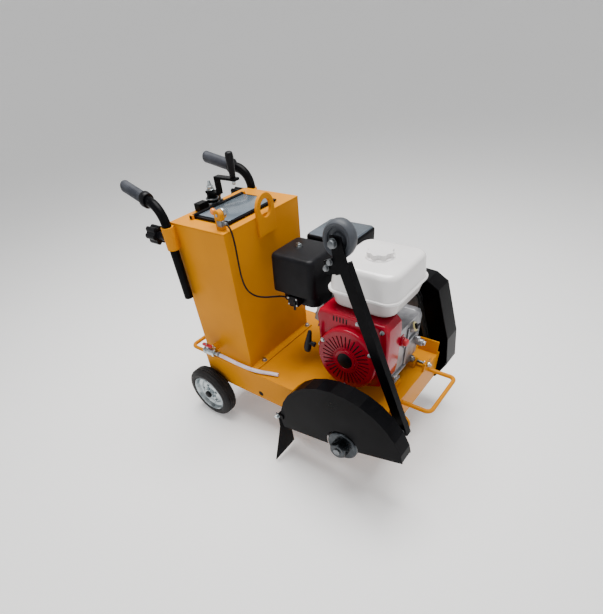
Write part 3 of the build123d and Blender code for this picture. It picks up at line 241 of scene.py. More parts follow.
extra = {
    # lighter bluish copy for the tank lid's black-painted top: painted reflection
    "lid_panel_painted_reflection": mottled("lid_panel_painted_reflection", (0.13, 0.17, 0.21), (0.20, 0.25, 0.30), (0.16, 0.28), metal=0.55,
                         patch=5.0, grain=200.0, depth=0.06, height=0.0004, coat=0.3),
    # lighter bluish copy for the muffler's black-painted lid: painted reflection on its upward face
    "muffler_lid_painted_reflection": mottled("muffler_lid_painted_reflection", (0.12, 0.15, 0.18), (0.21, 0.25, 0.30), (0.2, 0.34), metal=0.8,
                           patch=8.0, grain=300.0, depth=0.1, height=0.0004),
    # greyer copy of white_paint: painted shade for the tank's underside, which is white paint like the top
    "tank_white_painted_shade": mottled("tank_white_painted_shade", (0.50, 0.47, 0.46), (0.60, 0.57, 0.56), (0.25, 0.4),
                              patch=6.0, grain=120.0, depth=0.05, height=0.0004, coat=0.3),
    "dark_steel": mottled("dark_steel", (0.020, 0.024, 0.028), (0.050, 0.056, 0.062), (0.2, 0.32), metal=0.95,
                          patch=30.0, grain=400.0, depth=0.15, height=0.0003),
    "cream_ring": mottled("cream_ring", (0.7, 0.6, 0.25), (0.8, 0.7, 0.35), (0.4, 0.5), patch=40.0),
}


def dress_cad_nodes():
    """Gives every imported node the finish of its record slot."""
    for entry in frame["record"]["subparts"]:
        node = frame["nodes"][entry["node"]]
        node.data.materials.clear()
        node.data.materials.append(materials[entry["material_slot"]])


# ---------------------------------------------------------------- modelling helpers
def deselect():
    if bpy.context.object and bpy.context.object.mode != "OBJECT":
        bpy.ops.object.mode_set(mode="OBJECT")
    bpy.ops.object.select_all(action="DESELECT")


def settle(piece):
    """Puts a piece's place into its mesh and its object at the origin."""
    deselect()
    piece.select_set(True)
    bpy.context.view_layer.objects.active = piece
    bpy.ops.object.transform_apply(location=True, rotation=True, scale=True)


def use(piece, kind, **settings):
    """Adds a modifier and applies it."""
    bpy.context.view_layer.objects.active = piece
    modifier = piece.modifiers.new(kind.lower(), kind)
    for key, value in settings.items():
        setattr(modifier, key, value)
    bpy.ops.object.modifier_apply(modifier=modifier.name)


def rounded(piece, width, segments=3):
    """Rounds every edge sharper than 30 degrees."""
    use(piece, "BEVEL", width=width, segments=segments, limit_method="ANGLE",
        angle_limit=math.radians(30))


def smooth(piece, angle=40.0):
    deselect()
    piece.select_set(True)
    bpy.context.view_layer.objects.active = piece
    bpy.ops.object.shade_smooth_by_angle(angle=math.radians(angle))


def recalculate(piece):
    """Merges doubles and turns every face outwards."""
    deselect()
    piece.select_set(True)
    bpy.context.view_layer.objects.active = piece
    bpy.ops.object.mode_set(mode="EDIT")
    bpy.ops.mesh.select_all(action="SELECT")
    bpy.ops.mesh.remove_doubles(threshold=0.00001)
    bpy.ops.mesh.normals_make_consistent(inside=False)
    bpy.ops.object.mode_set(mode="OBJECT")


def place(piece, name, material, body, slot=None, replaces=(), angle=40.0):
    """Names, finishes and hands over a piece."""
    piece.name = name
    piece.data.name = name
    piece.data.materials.clear()
    piece.data.materials.append(extra.get(material) or materials[material])
    if piece.type == "MESH":
        smooth(piece, angle)
    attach(piece, body)
    if replaces:
        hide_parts(*replaces)
    return piece


def join(parts):
    """Joins several meshes into the first."""
    deselect()
    for part in parts:
        part.select_set(True)
    bpy.context.view_layer.objects.active = parts[0]
    if len(parts) > 1:
        bpy.ops.object.join()
    return parts[0]


def slab(low, high, bevel=0.0, segments=2):
    """A box between two corners with rounded edges."""
    deselect()
    bpy.ops.mesh.primitive_cube_add(size=1.0, location=(low + high) / 2)
    piece = bpy.context.object
    piece.scale = high - low
    settle(piece)
    if bevel:
        rounded(piece, bevel, segments)
    return piece


def barrel(start, end, radius, sides=32, bevel=0.0, segments=2, top=None):
    """A round bar or cone between two points, with its rims rounded."""
    deselect()
    way = end - start
    bpy.ops.mesh.primitive_cone_add(vertices=sides, radius1=radius, radius2=radius if top is None else top,
                                    depth=way.length, location=(start + end) / 2,
                                    rotation=way.to_track_quat("Z", "Y").to_euler())
    piece = bpy.context.object
    settle(piece)
    if bevel:
        rounded(piece, bevel, segments)
    return piece


def turned_shape(profile, centre, axis, steps=48, closed=True):
    """Spins a profile of (radius, distance along the axis) round an axis through the centre."""
    deselect()
    mesh = bpy.data.meshes.new("profile")
    points = [(radius, 0.0, along) for radius, along in profile]
    edges = [(i, i + 1) for i in range(len(points) - 1)]
    if closed:
        edges.append((len(points) - 1, 0))
    mesh.from_pydata(points, edges, [])
    piece = bpy.data.objects.new("profile", mesh)
    bpy.context.scene.collection.objects.link(piece)
    piece.select_set(True)
    bpy.context.view_layer.objects.active = piece
    bpy.ops.object.mode_set(mode="EDIT")
    bpy.ops.mesh.select_all(action="SELECT")
    bpy.ops.mesh.spin(steps=steps, angle=math.tau, center=(0, 0, 0), axis=(0, 0, 1))
    bpy.ops.object.mode_set(mode="OBJECT")
    facing = Vector(axis).to_track_quat("Z", "Y").to_matrix().to_4x4()
    piece.matrix_world = Matrix.Translation(centre) @ facing
    settle(piece)
    recalculate(piece)
    return piece


def hex_head(place_at, way, flats, depth, washer=0.0):
    """A hexagon head or nut standing on a face, on a washer."""
    way = Vector(way).normalized()
    start = Vector(place_at)
    parts = []
    if washer:
        parts.append(barrel(start, start + way * 0.0016, washer, 28, 0.0004, 1))
        start = start + way * 0.0016
    parts.append(barrel(start, start + way * depth, flats / math.sqrt(3), 6, depth * 0.12, 2))
    return join(parts)


def body_of(node_name):
    """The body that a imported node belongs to."""
    bodies = frame["record"]["behaviour"]["bodies"]
    return next(body for body, nodes in bodies.items() if node_name in nodes)


def soften(node_name, width, segments=2, angle=40.0, material=None):
    """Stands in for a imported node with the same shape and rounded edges."""
    node = frame["nodes"][node_name]
    piece = node.copy()
    piece.data = node.data.copy()
    bpy.context.scene.collection.objects.link(piece)
    piece.parent = None
    piece.matrix_world = node.matrix_world.copy()
    piece.hide_render = False
    settle(piece)
    mesh = bmesh.new()
    mesh.from_mesh(piece.data)
    bmesh.ops.remove_doubles(mesh, verts=mesh.verts, dist=0.00001)
    bmesh.ops.dissolve_limit(mesh, angle_limit=math.radians(1.0), verts=mesh.verts, edges=mesh.edges)
    mesh.to_mesh(piece.data)
    mesh.free()
    rounded(piece, width, segments)
    slots = {entry["node"]: entry["material_slot"] for entry in frame["record"]["subparts"]}
    place(piece, f"{node_name}.soft", material or slots[node_name], body_of(node_name),
          slot=slots[node_name], replaces=[node_name], angle=angle)
    use(piece, "WEIGHTED_NORMAL", keep_sharp=True, weight=50)


def hexagon_nut(start, way, flats, depth, bore):
    """A large bored hexagon nut with its outer corners turned off."""
    corner = flats / math.sqrt(3)
    nut = barrel(start, start + Vector(way) * depth, corner, 6)
    cutter = turned_shape([(corner * 0.84, depth + 0.001), (corner * 1.4, depth + 0.001),
                           (corner * 1.4, depth - 0.0100), (corner * 0.84, depth - 0.0002),
                           (corner * 0.84, depth + 0.0005)], start, way, 48)
    cutter.name = "nut_cutter"
    hole = barrel(start - Vector(way) * 0.001, start + Vector(way) * (depth + 0.001), bore, 40)
    for tool in (cutter, hole):
        use(nut, "BOOLEAN", operation="DIFFERENCE", object=tool, solver="EXACT")
        bpy.data.objects.remove(tool)
    rounded(nut, 0.0006, 1)
    return nut


def rounded_case(low, high, corner, brow, taper=1.0, upside_down=False):
    """A moulded case: round upright corners, a round top edge and sides that lean in."""
    deselect()
    middle = (low + high) / 2
    bpy.ops.mesh.primitive_cube_add(size=1.0, location=middle)
    piece = bpy.context.object
    piece.scale = high - low
    settle(piece)
    near = low.z if upside_down else high.z
    mesh = bmesh.new()
    mesh.from_mesh(piece.data)
    for vertex in mesh.verts:
        if abs(vertex.co.z - near) < 1e-6:
            vertex.co.x = middle.x + (vertex.co.x - middle.x) * taper
            vertex.co.y = middle.y + (vertex.co.y - middle.y) * taper
    uprights = [e for e in mesh.edges if abs(e.verts[0].co.z - e.verts[1].co.z) > 1e-4]
    bmesh.ops.bevel(mesh, geom=uprights, offset=corner, segments=7, profile=0.5, affect="EDGES")
    brows = [e for e in mesh.edges if all(abs(v.co.z - near) < 1e-5 for v in e.verts)]
    bmesh.ops.bevel(mesh, geom=brows, offset=brow, segments=5, profile=0.5, affect="EDGES")
    mesh.to_mesh(piece.data)
    mesh.free()
    return piece


# ---------------------------------------------------------------- cords
hose_route = [(118, -27, 348), (144, -27, 348), (181, -22, 340), (223, -11, 325), (266, 2, 311.5),
              (309, 14, 307.4), (347, 26, 307.8), (381, 36, 307.2)]
cable_route = [(234, 48, 826), (252, 48, 826), (268, 45, 809), (276, 41, 770), (278, 38, 722),
               (277, 39, 672), (279, 48, 626), (290, 71, 595), (311, 101, 581), (333, 131, 576),
               (357, 151, 574), (385, 151, 574)]


def cord_curve(name, route, radius):
    """A smooth round cord whose control points are a route's points."""
    curve = bpy.data.curves.new(name, "CURVE")
    curve.dimensions = "3D"
    curve.bevel_depth = radius
    curve.bevel_resolution = 5
    curve.resolution_u = 12
    curve.use_fill_caps = True
    spline = curve.splines.new("NURBS")
    spline.points.add(len(route) - 1)
    for point, where in zip(spline.points, route):
        point.co = (*at(*where), 1.0)
    spline.order_u = 3
    spline.use_endpoint_u = True
    cord = bpy.data.objects.new(name, curve)
    bpy.context.scene.collection.objects.link(cord)
    return cord


def route_length(route):
    """Length of the cord's smooth centreline."""
    bare = cord_curve("measure", route, 0.0)
    bare.data.bevel_depth = 0.0
    bpy.context.view_layer.update()
    mesh = bpy.data.meshes.new_from_object(bare.evaluated_get(bpy.context.evaluated_depsgraph_get()))
    total = sum((mesh.vertices[e.vertices[0]].co - mesh.vertices[e.vertices[1]].co).length
                for e in mesh.edges)
    bpy.data.objects.remove(bare)
    return total


def make_cords():
    """The clear hose below the tank and the throttle's cable."""
    hose = cord_curve("clear_hose", hose_route, 0.0075)
    place(hose, "clear_hose", "hose_plastic", "chassis", replaces=["water_hose"])
    round(route_length(hose_route), 3)
    cable = cord_curve("throttle_line", cable_route, 0.003)
    place(cable, "throttle_line", "black_plastic", "chassis", replaces=["throttle_cable"])
    round(route_length(cable_route), 3)


# ---------------------------------------------------------------- wheels
def make_rear_wheel(side, outward):
    """Grooved tyre on a dished rim with five bolts and a hub cap."""
    low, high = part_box(f"rear_tyre_{side}")
    centre = (low + high) / 2
    axis = (0, outward, 0)
    half = (high.y - low.y) / 2
    outer = [(0.0865, half - 0.004), (0.089, half - 0.001), (0.096, half), (0.103, half - 0.0005),
             (0.105, half - 0.003), (0.111, half - 0.003), (0.1165, half - 0.008), (0.1190, half - 0.014),
             (0.1198, 0.0165), (0.1165, 0.015), (0.1165, 0.0115), (0.12, 0.010), (0.12, 0.0025),
             (0.1170, 0.001)]
    tyre_profile = [(radius, -along) for radius, along in outer] + outer[::-1]
    tyre = turned_shape(tyre_profile, centre, axis, 72)
    place(tyre, f"tyre_rear_{side}", "tyre_rubber", f"rear_wheel_{side}", replaces=[f"rear_tyre_{side}"],
          angle=50)
    rim_profile = [(0.0865, half - 0.0045), (0.0835, half - 0.001), (0.081, half - 0.003),
                   (0.078, half - 0.010), (0.074, half - 0.018), (0.060, half - 0.022),
                   (0.052, half - 0.016), (0.036, half - 0.0135),
                   (0.027, half - 0.019), (0.0235, half - 0.004), (0.0105, half - 0.003),
                   (0.0105, -half + 0.003), (0.0235, -half + 0.004), (0.027, half - 0.024),
                   (0.060, half - 0.026), (0.072, half - 0.022), (0.076, -half + 0.010),
                   (0.0835, -half + 0.002), (0.0865, -half + 0.0045)]
    parts = [turned_shape(rim_profile, centre, axis, 64)]
    for i in range(5):
        angle = math.tau * (i + 0.3) / 5
        spot = centre + Vector((0.041 * math.cos(angle), outward * (half - 0.014),
                                0.041 * math.sin(angle)))
        parts.append(hex_head(spot, axis, 0.010, 0.005, 0.007))
    place(join(parts), f"rim_rear_{side}", "zinc", f"rear_wheel_{side}", replaces=[f"rear_rim_{side}"])
    cap_profile = [(0.0, half + 0.0095), (0.008, half + 0.0088), (0.0145, half + 0.006),
                   (0.0165, half - 0.001), (0.0165, half - 0.0045), (0.0, half - 0.0045)]
    cap = turned_shape(cap_profile, centre, axis, 40, closed=False)
    place(cap, f"hub_cap_{side}", "black_plastic", f"rear_wheel_{side}")


def make_front_wheel(side, outward):
    """Solid wheel with recessed faces round its hub."""
    low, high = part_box(f"front_wheel_{side}")
    centre = (low + high) / 2
    half = (high.y - low.y) / 2
    radius = (high.z - low.z) / 2
    profile = [(0.0092, half - 0.001), (0.018, half - 0.001), (0.020, half - 0.009), (0.044, half - 0.009),
               (0.047, half), (0.062, half), (0.068, half - 0.004), (radius, half - 0.011),
               (radius, -half + 0.011), (0.068, -half + 0.004), (0.062, -half), (0.047, -half),
               (0.044, -half + 0.009), (0.020, -half + 0.009), (0.018, -half + 0.001),
               (0.0092, -half + 0.001)]
    wheel = turned_shape(profile, centre, (0, outward, 0), 56)
    place(wheel, f"wheel_front_{side}", "tyre_rubber", f"front_wheel_{side}",
          replaces=[f"front_wheel_{side}"])


def make_guide_wheel():
    """The pointer arm's small wheel: a soft tread on a webbed hub."""
    low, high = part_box("pointer_wheel")
    centre = (low + high) / 2
    half = (high.y - low.y) / 2
    radius = (high.z - low.z) / 2
    tread = [(radius - 0.013, -half + 0.002), (radius - 0.006, -half), (radius - 0.002, -half + 0.004),
             (radius, -half + 0.011), (radius, half - 0.011), (radius - 0.002, half - 0.004),
             (radius - 0.006, half), (radius - 0.013, half - 0.002)]
    place(turned_shape(tread, centre, (0, -1, 0), 56), "guide_tread", "grey_plastic", "guide_wheel",
          replaces=["pointer_wheel"])
    web = [(radius - 0.0125, half - 0.003), (radius - 0.016, half - 0.002), (radius - 0.018, half - 0.009),
           (0.020, half - 0.011), (0.016, half - 0.002), (0.0062, half - 0.001), (0.0062, -half + 0.001),
           (0.016, -half + 0.002), (0.020, -half + 0.011), (radius - 0.018, -half + 0.009),
           (radius - 0.016, -half + 0.002), (radius - 0.0125, -half + 0.003)]
    place(turned_shape(web, centre, (0, -1, 0), 56), "guide_hub", "grey_plastic", "guide_wheel")


# ---------------------------------------------------------------- engine
def make_fuel_tank():
    """Two pressed halves that meet in a flat seam, and the neck below the cap."""
    low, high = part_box("fuel_tank")
    seam = tank_seam_z
    upper = rounded_case(Vector((low.x + 0.006, low.y + 0.006, seam)),
                         Vector((high.x - 0.006, high.y - 0.006, high.z)), 0.042, 0.016, taper=0.93)
    place(upper, "fuel_tank_upper", "white_paint", "chassis", replaces=["fuel_tank"], angle=60)
    lower = rounded_case(Vector((low.x + 0.007, low.y + 0.007, low.z)),
                         Vector((high.x - 0.007, high.y - 0.007, seam)), 0.042, 0.014, taper=0.9,
                         upside_down=True)
    # the lower half takes the greyer copy of the white paint as painted shade; its real finish is white paint
    place(lower, "fuel_tank_lower", "tank_white_painted_shade", "chassis", slot="white_paint", angle=60)
    rim = rounded_case(Vector((low.x, low.y, seam - 0.0035)), Vector((high.x, high.y, seam + 0.0035)),
                       0.046, 0.001)
    rounded(rim, 0.0015, 2)
    place(rim, "fuel_tank_seam", "white_paint", "chassis", angle=60)
    cap_low, cap_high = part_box("fuel_cap")
    middle = (cap_low + cap_high) / 2
    neck = turned_shape([(0.033, 0.0), (0.047, 0.0), (0.045, 0.0035), (0.036, 0.005), (0.033, 0.004)],
                        Vector((middle.x, middle.y, high.z - 0.001)), (0, 0, 1), 48)
    place(neck, "filler_neck", "white_paint", "chassis")


def make_air_cleaner():
    """Moulded case held by a wing nut on top."""
    low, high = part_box("air_cleaner")
    case = rounded_case(low, high, 0.024, 0.014, taper=0.965)
    place(case, "air_cleaner_case", "black_plastic", "chassis", replaces=["air_cleaner"], angle=60)
    top = at(386, 223, 722)
    dish = turned_shape([(0.0, 0.0012), (0.014, 0.0012), (0.017, -0.001), (0.0, -0.002)], top, (0, 0, 1), 40,
                        closed=False)
    place(dish, "cleaner_washer", "black_plastic", "chassis")
    stud = join([barrel(top, top + Vector((0, 0, 0.012)), 0.003, 16, 0.0006),
                 hex_head(top + Vector((0, 0, 0.001)), (0, 0, 1), 0.011, 0.005, 0.009),
                 slab(top + Vector((-0.011, -0.0015, 0.004)), top + Vector((0.011, 0.0015, 0.010)), 0.001)])
    place(stud, "cleaner_wing_nut", "zinc", "chassis")


def make_carburettor():
    """Body with its float bowl, and four cover screws."""
    low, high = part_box("carburettor")
    body = join([slab(low, high, 0.004, 3),
                 barrel(Vector((low.x + 0.010, low.y + 0.015, low.z - 0.006)),
                        Vector((low.x + 0.010, low.y + 0.015, high.z - 0.004)), 0.012, 32, 0.002)])
    place(body, "carburettor_body", "black_plastic", "chassis", slot="cast_aluminium",
          replaces=["carburettor"])
    screws = []
    for x, z in ((0.006, 0.006), (0.040, 0.006), (0.040, 0.028), (0.006, 0.028)):
        screws.append(barrel(Vector((low.x + x, low.y - 0.0025, low.z + z)),
                             Vector((low.x + x, low.y + 0.001, low.z + z)), 0.0032, 16, 0.0006))
    place(join(screws), "carburettor_screws", "zinc", "chassis")


def make_muffler():
    """Box with a folded seam, a lid coloured lighter and bluish as painted reflection (the lid is black paint
    like the box), and an outlet below.
    """
    low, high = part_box("muffler")
    body_low = Vector((low.x, low.y, 0.588))
    case = rounded_case(body_low, Vector((high.x, high.y, high.z - 0.004)), 0.017, 0.006)
    seam = rounded_case(Vector((low.x, low.y, 0.655)), Vector((high.x, high.y, 0.661)), 0.018, 0.001)
    outlet = slab(Vector((low.x + 0.060, low.y + 0.020, low.z)),
                  Vector((low.x + 0.110, low.y + 0.060, 0.590)), 0.003)
    place(join([case, seam, outlet]), "muffler_case", "black_paint", "chassis", replaces=["muffler"],
          angle=60)
    # the lid is black paint; its lighter bluish colour is painted reflection
    top = rounded_case(Vector((low.x + 0.006, low.y + 0.006, high.z - 0.006)),
                       Vector((high.x - 0.006, high.y - 0.006, high.z)), 0.012, 0.003)
    place(top, "muffler_lid", "muffler_lid_painted_reflection", "chassis", slot="black_paint", angle=60)


def shroud_points():
    """Fan housing seen from the recoil side, round below and square above, as (x, z)."""
    radius = 120.0
    points = []
    for step in range(13):
        angle = math.radians(180 + step * 9.5)
        points.append((crank_x + radius * math.cos(angle), crank_z + radius * math.sin(angle)))
    return points + [(784, 372), (797, 392), (801, 440), (800, 560), (796, 588), (780, 603), (560, 603),
                     (541, 597), (533, 580)]


def make_shroud():
    """Thin pressed fan housing with dark slabs in its vent slots as painted shade, screws, and the stop
    switch on a boss.
    """
    deselect()
    front, back = 104.0, 190.0
    mesh = bpy.data.meshes.new("shroud")
    outline = shroud_points()
    mesh.from_pydata([at(x, front, z) for x, z in outline], [], [tuple(range(len(outline)))])
    piece = bpy.data.objects.new("shroud", mesh)
    bpy.context.scene.collection.objects.link(piece)
    piece.select_set(True)
    bpy.context.view_layer.objects.active = piece
    bpy.ops.object.mode_set(mode="EDIT")
    bpy.ops.mesh.select_all(action="SELECT")
    bpy.ops.mesh.extrude_region_move(TRANSFORM_OT_translate={"value": (0, (back - front) * MM, 0)})
    bpy.ops.object.mode_set(mode="OBJECT")
    recalculate(piece)
    cut = bmesh.new()
    cut.from_mesh(piece.data)
    rear = [f for f in cut.faces if all(abs(v.co.y - at(0, back, 0).y) < 1e-6 for v in f.verts)]
    bmesh.ops.delete(cut, geom=rear, context="FACES")
    brow = [e for e in cut.edges if all(abs(v.co.y - at(0, front, 0).y) < 1e-6 for v in e.verts)]
    bmesh.ops.bevel(cut, geom=brow, offset=0.011, segments=5, profile=0.5, affect="EDGES")
    cut.to_mesh(piece.data)
    cut.free()
    use(piece, "SOLIDIFY", thickness=0.0025, offset=-1.0)
    place(piece, "shroud_shell", "red_paint", "chassis", replaces=["fan_shroud"], angle=35)
    # black slabs in the vent slots: painted shade for the dark openings
    vent_shades = [slab(at(598 + column * 12, 103.0, 574), at(603 + column * 12, 105.5, 592), 0.001)
             for column in range(5)]
    place(join(vent_shades), "vent_shade_slabs", "black_plastic", "chassis")
    boss = join([slab(at(794, 187, 486), at(799, 223, 522), 0.002),
                 barrel(at(796, 206, 504), at(808, 206, 504), 0.0155, 40, 0.003)])
    place(boss, "switch_boss", "red_paint", "chassis")
    knob = turned_shape([(0.0, 0.0155), (0.006, 0.0150), (0.0105, 0.0120), (0.012, 0.0085), (0.012, 0.0006),
                         (0.0, 0.0006)], at(808, 206, 504), (1, 0, 0), 36, closed=False)
    place(knob, "switch_knob", "red_plastic", "stop_switch", replaces=["stop_switch"])
    screws = [hex_head(at(x, 104, z), (0, -1, 0), 0.010, 0.005, 0.0075)
              for x, z in ((545, 470), (790, 470), (776, 584), (690, 588))]
    place(join(screws), "shroud_screws", "zinc", "chassis")


def make_recoil_details():
    """Ring, plain badge, a dark disc behind the slots as painted shade, and three bolts."""
    centre = at(crank_x, 80, crank_z)
    ring = turned_shape([(0.028, 0.0), (0.040, 0.0), (0.0385, 0.0042), (0.030, 0.0048)],
                        centre + Vector((0, 0.0005, 0)), (0, -1, 0), 56)
    place(ring, "recoil_ring", "red_paint", "chassis")
    badge = turned_shape([(0.0, 0.0036), (0.026, 0.0036), (0.0295, 0.0022), (0.0295, 0.0), (0.0, 0.0)],
                         centre, (0, -1, 0), 56, closed=False)
    place(badge, "recoil_badge", "black_plastic", "chassis")
    # black disc inside the cover: painted shade for the dark cavity seen through the slots
    shade_disc = barrel(at(crank_x, 84, crank_z), at(crank_x, 92, crank_z), 0.098, 56, 0.002)
    place(shade_disc, "recoil_shade_disc", "black_plastic", "chassis")
    bolts = []
    for degrees in (30, 150, 270):
        angle = math.radians(degrees)
        spot = at(crank_x + 104 * math.cos(angle), 80.5, crank_z + 104 * math.sin(angle))
        bolts.append(hex_head(spot, (0, -1, 0), 0.010, 0.004, 0.0075))
    place(join(bolts), "recoil_bolts", "zinc", "chassis")


def make_recoil_grip():
    """Pear-shaped pull, leaning forward, on a short neck."""
    middle = at(521, 66, 492)
    outline = [(0.0, -0.046), (0.0075, -0.0445), (0.0120, -0.040), (0.0142, -0.028), (0.0138, -0.012),
               (0.0115, 0.006), (0.0095, 0.022), (0.0085, 0.034), (0.0070, 0.042), (0.0040, 0.0455),
               (0.0, 0.046)]
    lean = math.radians(12)
    pull = turned_shape(outline, Vector((0, 0, 0)), (0, 0, 1), 40, closed=False)
    pull.scale = (1.0, 0.72, 1.0)
    pull.rotation_euler = (0.0, lean, 0.0)
    pull.location = middle
    settle(pull)
    neck = barrel(at(524, 66, 491), at(541, 66, 488), 0.0075, 24, 0.002, top=0.0058)
    place(join([pull, neck]), "starter_grip", "black_plastic", "recoil_pull", replaces=["recoil_grip"],
          angle=60)
    collar = barrel(at(540.5, 66, 488), at(549, 66, 486.5), 0.009, 24, 0.002)
    place(collar, "starter_guide", "black_plastic", "chassis")


def make_cylinder_fins():
    """Cooling fins across the barrel, which leans up towards the tank."""
    lean = 0.3
    along = Vector((-math.cos(lean), 0, math.sin(lean)))
    start = at(601, 295, 450)
    fins = []
    for step in range(11):
        middle = start + along * (0.030 + 0.0115 * step)
        deselect()
        bpy.ops.mesh.primitive_cube_add(size=1.0, location=middle,
                                        rotation=along.to_track_quat("X", "Z").to_euler())
        fin = bpy.context.object
        fin.scale = (0.003, 0.140, 0.112)
        settle(fin)
        rounded(fin, 0.001, 1)
        fins.append(fin)
    place(join(fins), "cylinder_fins", "cast_aluminium", "chassis")
    tip = start + along * 0.168
    head = [barrel(tip, tip + along * 0.012, 0.040, 8, 0.003)]
    for dy, dz in ((-0.04, -0.03), (0.04, -0.03), (-0.04, 0.03), (0.04, 0.03)):
        spot = start + along * 0.175 + Vector((dz * math.sin(lean), dy, dz * math.cos(lean)))
        head.append(hex_head(spot, along, 0.012, 0.007))
    place(join(head), "head_cover", "cast_aluminium", "chassis")


def make_side_cover_details():
    """Bolts, ribs, oil filler and castings on the engine's left and front."""
    parts = []
    left = 400.0
    for x, z in ((590, 340), (640, 334), (700, 334), (766, 340), (770, 400), (770, 470), (764, 506),
                 (700, 508), (640, 508), (592, 504), (587, 440), (587, 390)):
        parts.append(hex_head(at(x, left, z), (0, 1, 0), 0.012, 0.007, 0.008))
    place(join(parts), "cover_bolts", "zinc", "chassis")
    ribs = []
    for degrees in (0, 40, 80, 120, 160, 200, 240, 280, 320):
        angle = math.radians(degrees)
        start = at(crank_x + 36 * math.cos(angle), left + 1.0, crank_z + 36 * math.sin(angle))
        end = at(crank_x + 62 * math.cos(angle), left + 1.0, crank_z + 62 * math.sin(angle))
        if end.z < at(0, 0, 510).z and end.z > at(0, 0, 335).z:
            ribs.append(barrel(start, end, 0.004, 12, 0.001))
    place(join(ribs), "cover_ribs", "cast_aluminium", "chassis")
    plug_at = at(780, 322, 486)
    way = Vector((0.86, 0.2, 0.46)).normalized()
    neck = barrel(plug_at - way * 0.006, plug_at + way * 0.012, 0.017, 28, 0.002)
    place(neck, "filler_boss", "cast_aluminium", "chassis")
    ring = turned_shape([(0.0105, 0.0), (0.0165, 0.0), (0.0165, 0.0035), (0.0105, 0.0035)],
                        plug_at + way * 0.0125, way, 36)
    place(ring, "filler_ring", "cream_ring", "chassis", slot="black_plastic")
    plug = join([barrel(plug_at + way * 0.012, plug_at + way * 0.022, 0.0102, 24, 0.002),
                 slab(plug_at + way * 0.024 - Vector((0.003, 0.012, 0.004)),
                      plug_at + way * 0.024 + Vector((0.003, 0.012, 0.004)), 0.002)])
    place(plug, "filler_plug", "black_plastic", "chassis")
    feet = []
    for x in (571, 786):
        for y in (228, 362):
            feet.append(hex_head(at(x, y, 334), (0, 0, 1), 0.014, 0.009, 0.010))
    place(join(feet), "foot_bolts", "zinc", "chassis")
    boss = join([barrel(at(782, 352, 430), at(806, 352, 430), 0.010, 24, 0.002),
                 barrel(at(782, 380, 400), at(812, 380, 400), 0.013, 24, 0.003),
                 hex_head(at(812, 380, 400), (1, 0, 0), 0.016, 0.008),
                 slab(at(781, 205, 340), at(792, 300, 352), 0.003),
                 slab(at(781, 260, 440), at(790, 372, 450), 0.003),
                 slab(at(781, 285, 350), at(788, 297, 500), 0.003)])
    place(boss, "block_front_casting", "cast_aluminium", "chassis")


# ---------------------------------------------------------------- tank and controls
def make_lid_details():
    """Panel inside the lid's frame, coloured lighter and bluish as painted reflection on the lid's black
    paint, and its hinge bar.
    """
    low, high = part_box("tank_lid")
    # the panel is black paint; its lighter bluish colour is painted reflection
    panel = slab(Vector((low.x + 0.022, low.y + 0.024, high.z - 0.0024)),
                 Vector((high.x - 0.008, high.y - 0.024, high.z - 0.0002)), 0.0008)
    place(panel, "lid_panel_painted_reflection", "lid_panel_painted_reflection", "lid", slot="black_paint")
    bar = join([barrel(at(58, 77.5, 812), at(58, 322.5, 812), 0.0072, 28, 0.001),
                slab(at(59, 84, 812), at(71, 316, 819), 0.0015)])
    place(bar, "lid_hinge_bar", "black_paint", "lid")


def make_grip(side, post_y, inward):
    """Ribbed rubber grip with a round end and a collar."""
    toe, slope = math.radians(6.5), math.radians(11.0)
    way = Vector((-math.cos(toe) * math.cos(slope), inward * math.sin(toe) * math.cos(slope),
                  math.sin(slope)))
    corner = at(11.0, post_y, 852.0)
    end = corner + way * (0.203 / -way.x)
    start = end - way * 0.128
    profile = [(0.0162, 0.0), (0.0215, 0.0), (0.023, 0.0015), (0.023, 0.0085), (0.0215, 0.010),
               (0.0185, 0.0105)]
    along = 0.014
    while along < 0.112:
        profile += [(0.0178, along), (0.0188, along + 0.0015), (0.0188, along + 0.0045),
                    (0.0178, along + 0.006)]
        along += 0.0065
    profile += [(0.0188, 0.116), (0.0190, 0.1205), (0.0165, 0.1262), (0.010, 0.128), (0.0, 0.128),
                (0.0, 0.122), (0.0162, 0.121)]
    grip = turned_shape(profile, start, way, 40)
    place(grip, f"rubber_grip_{side}", "grip_rubber", f"handle_{side}", replaces=[f"grip_{side}"])
    collar = turned_shape([(0.0165, -0.012), (0.021, -0.012), (0.0235, -0.009), (0.0245, 0.006),
                           (0.022, 0.0105), (0.0190, 0.0105), (0.0165, 0.002)], start, way, 40)
    place(collar, f"grip_collar_{side}", "black_plastic", f"handle_{side}")


def make_crank_details():
    """Nut and pin above the crank, the grip's bolt, and the fittings round its bearing."""
    top = at(screw_x, screw_y, 854)
    parts = [hex_head(top, (0, 0, 1), 0.022, 0.010, 0.014),
             barrel(top + Vector((0, 0, 0.010)), top + Vector((0, 0, 0.026)), 0.008, 24, 0.001, top=0.004)]
    place(join(parts), "crank_nut", "zinc", "crank")
    grip_low, grip_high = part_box("crank_grip")
    middle = (grip_low + grip_high) / 2
    bolt = hex_head(Vector((middle.x, middle.y, 0.890)), (0, 0, -1), 0.012, 0.010, 0.008)
    place(bolt, "crank_grip_bolt", "zinc", "crank")
    rings = [turned_shape([(0.0205, 0.0), (0.0235, 0.001), (0.0235, 0.004), (0.0205, 0.005)],
                          at(screw_x, screw_y, z), (0, 0, 1), 36)
             for z in (813.5, 825.5)]
    for x, y in ((11, 178), (43, 178), (43, 232)):
        rings.append(hex_head(at(x, y, 812), (0, 0, 1), 0.011, 0.007, 0.008))
    rings.append(hex_head(at(12, 247, 828), (1, 0, 0), 0.013, 0.009, 0.009))
    place(join(rings), "bearing_fittings", "steel", "chassis")


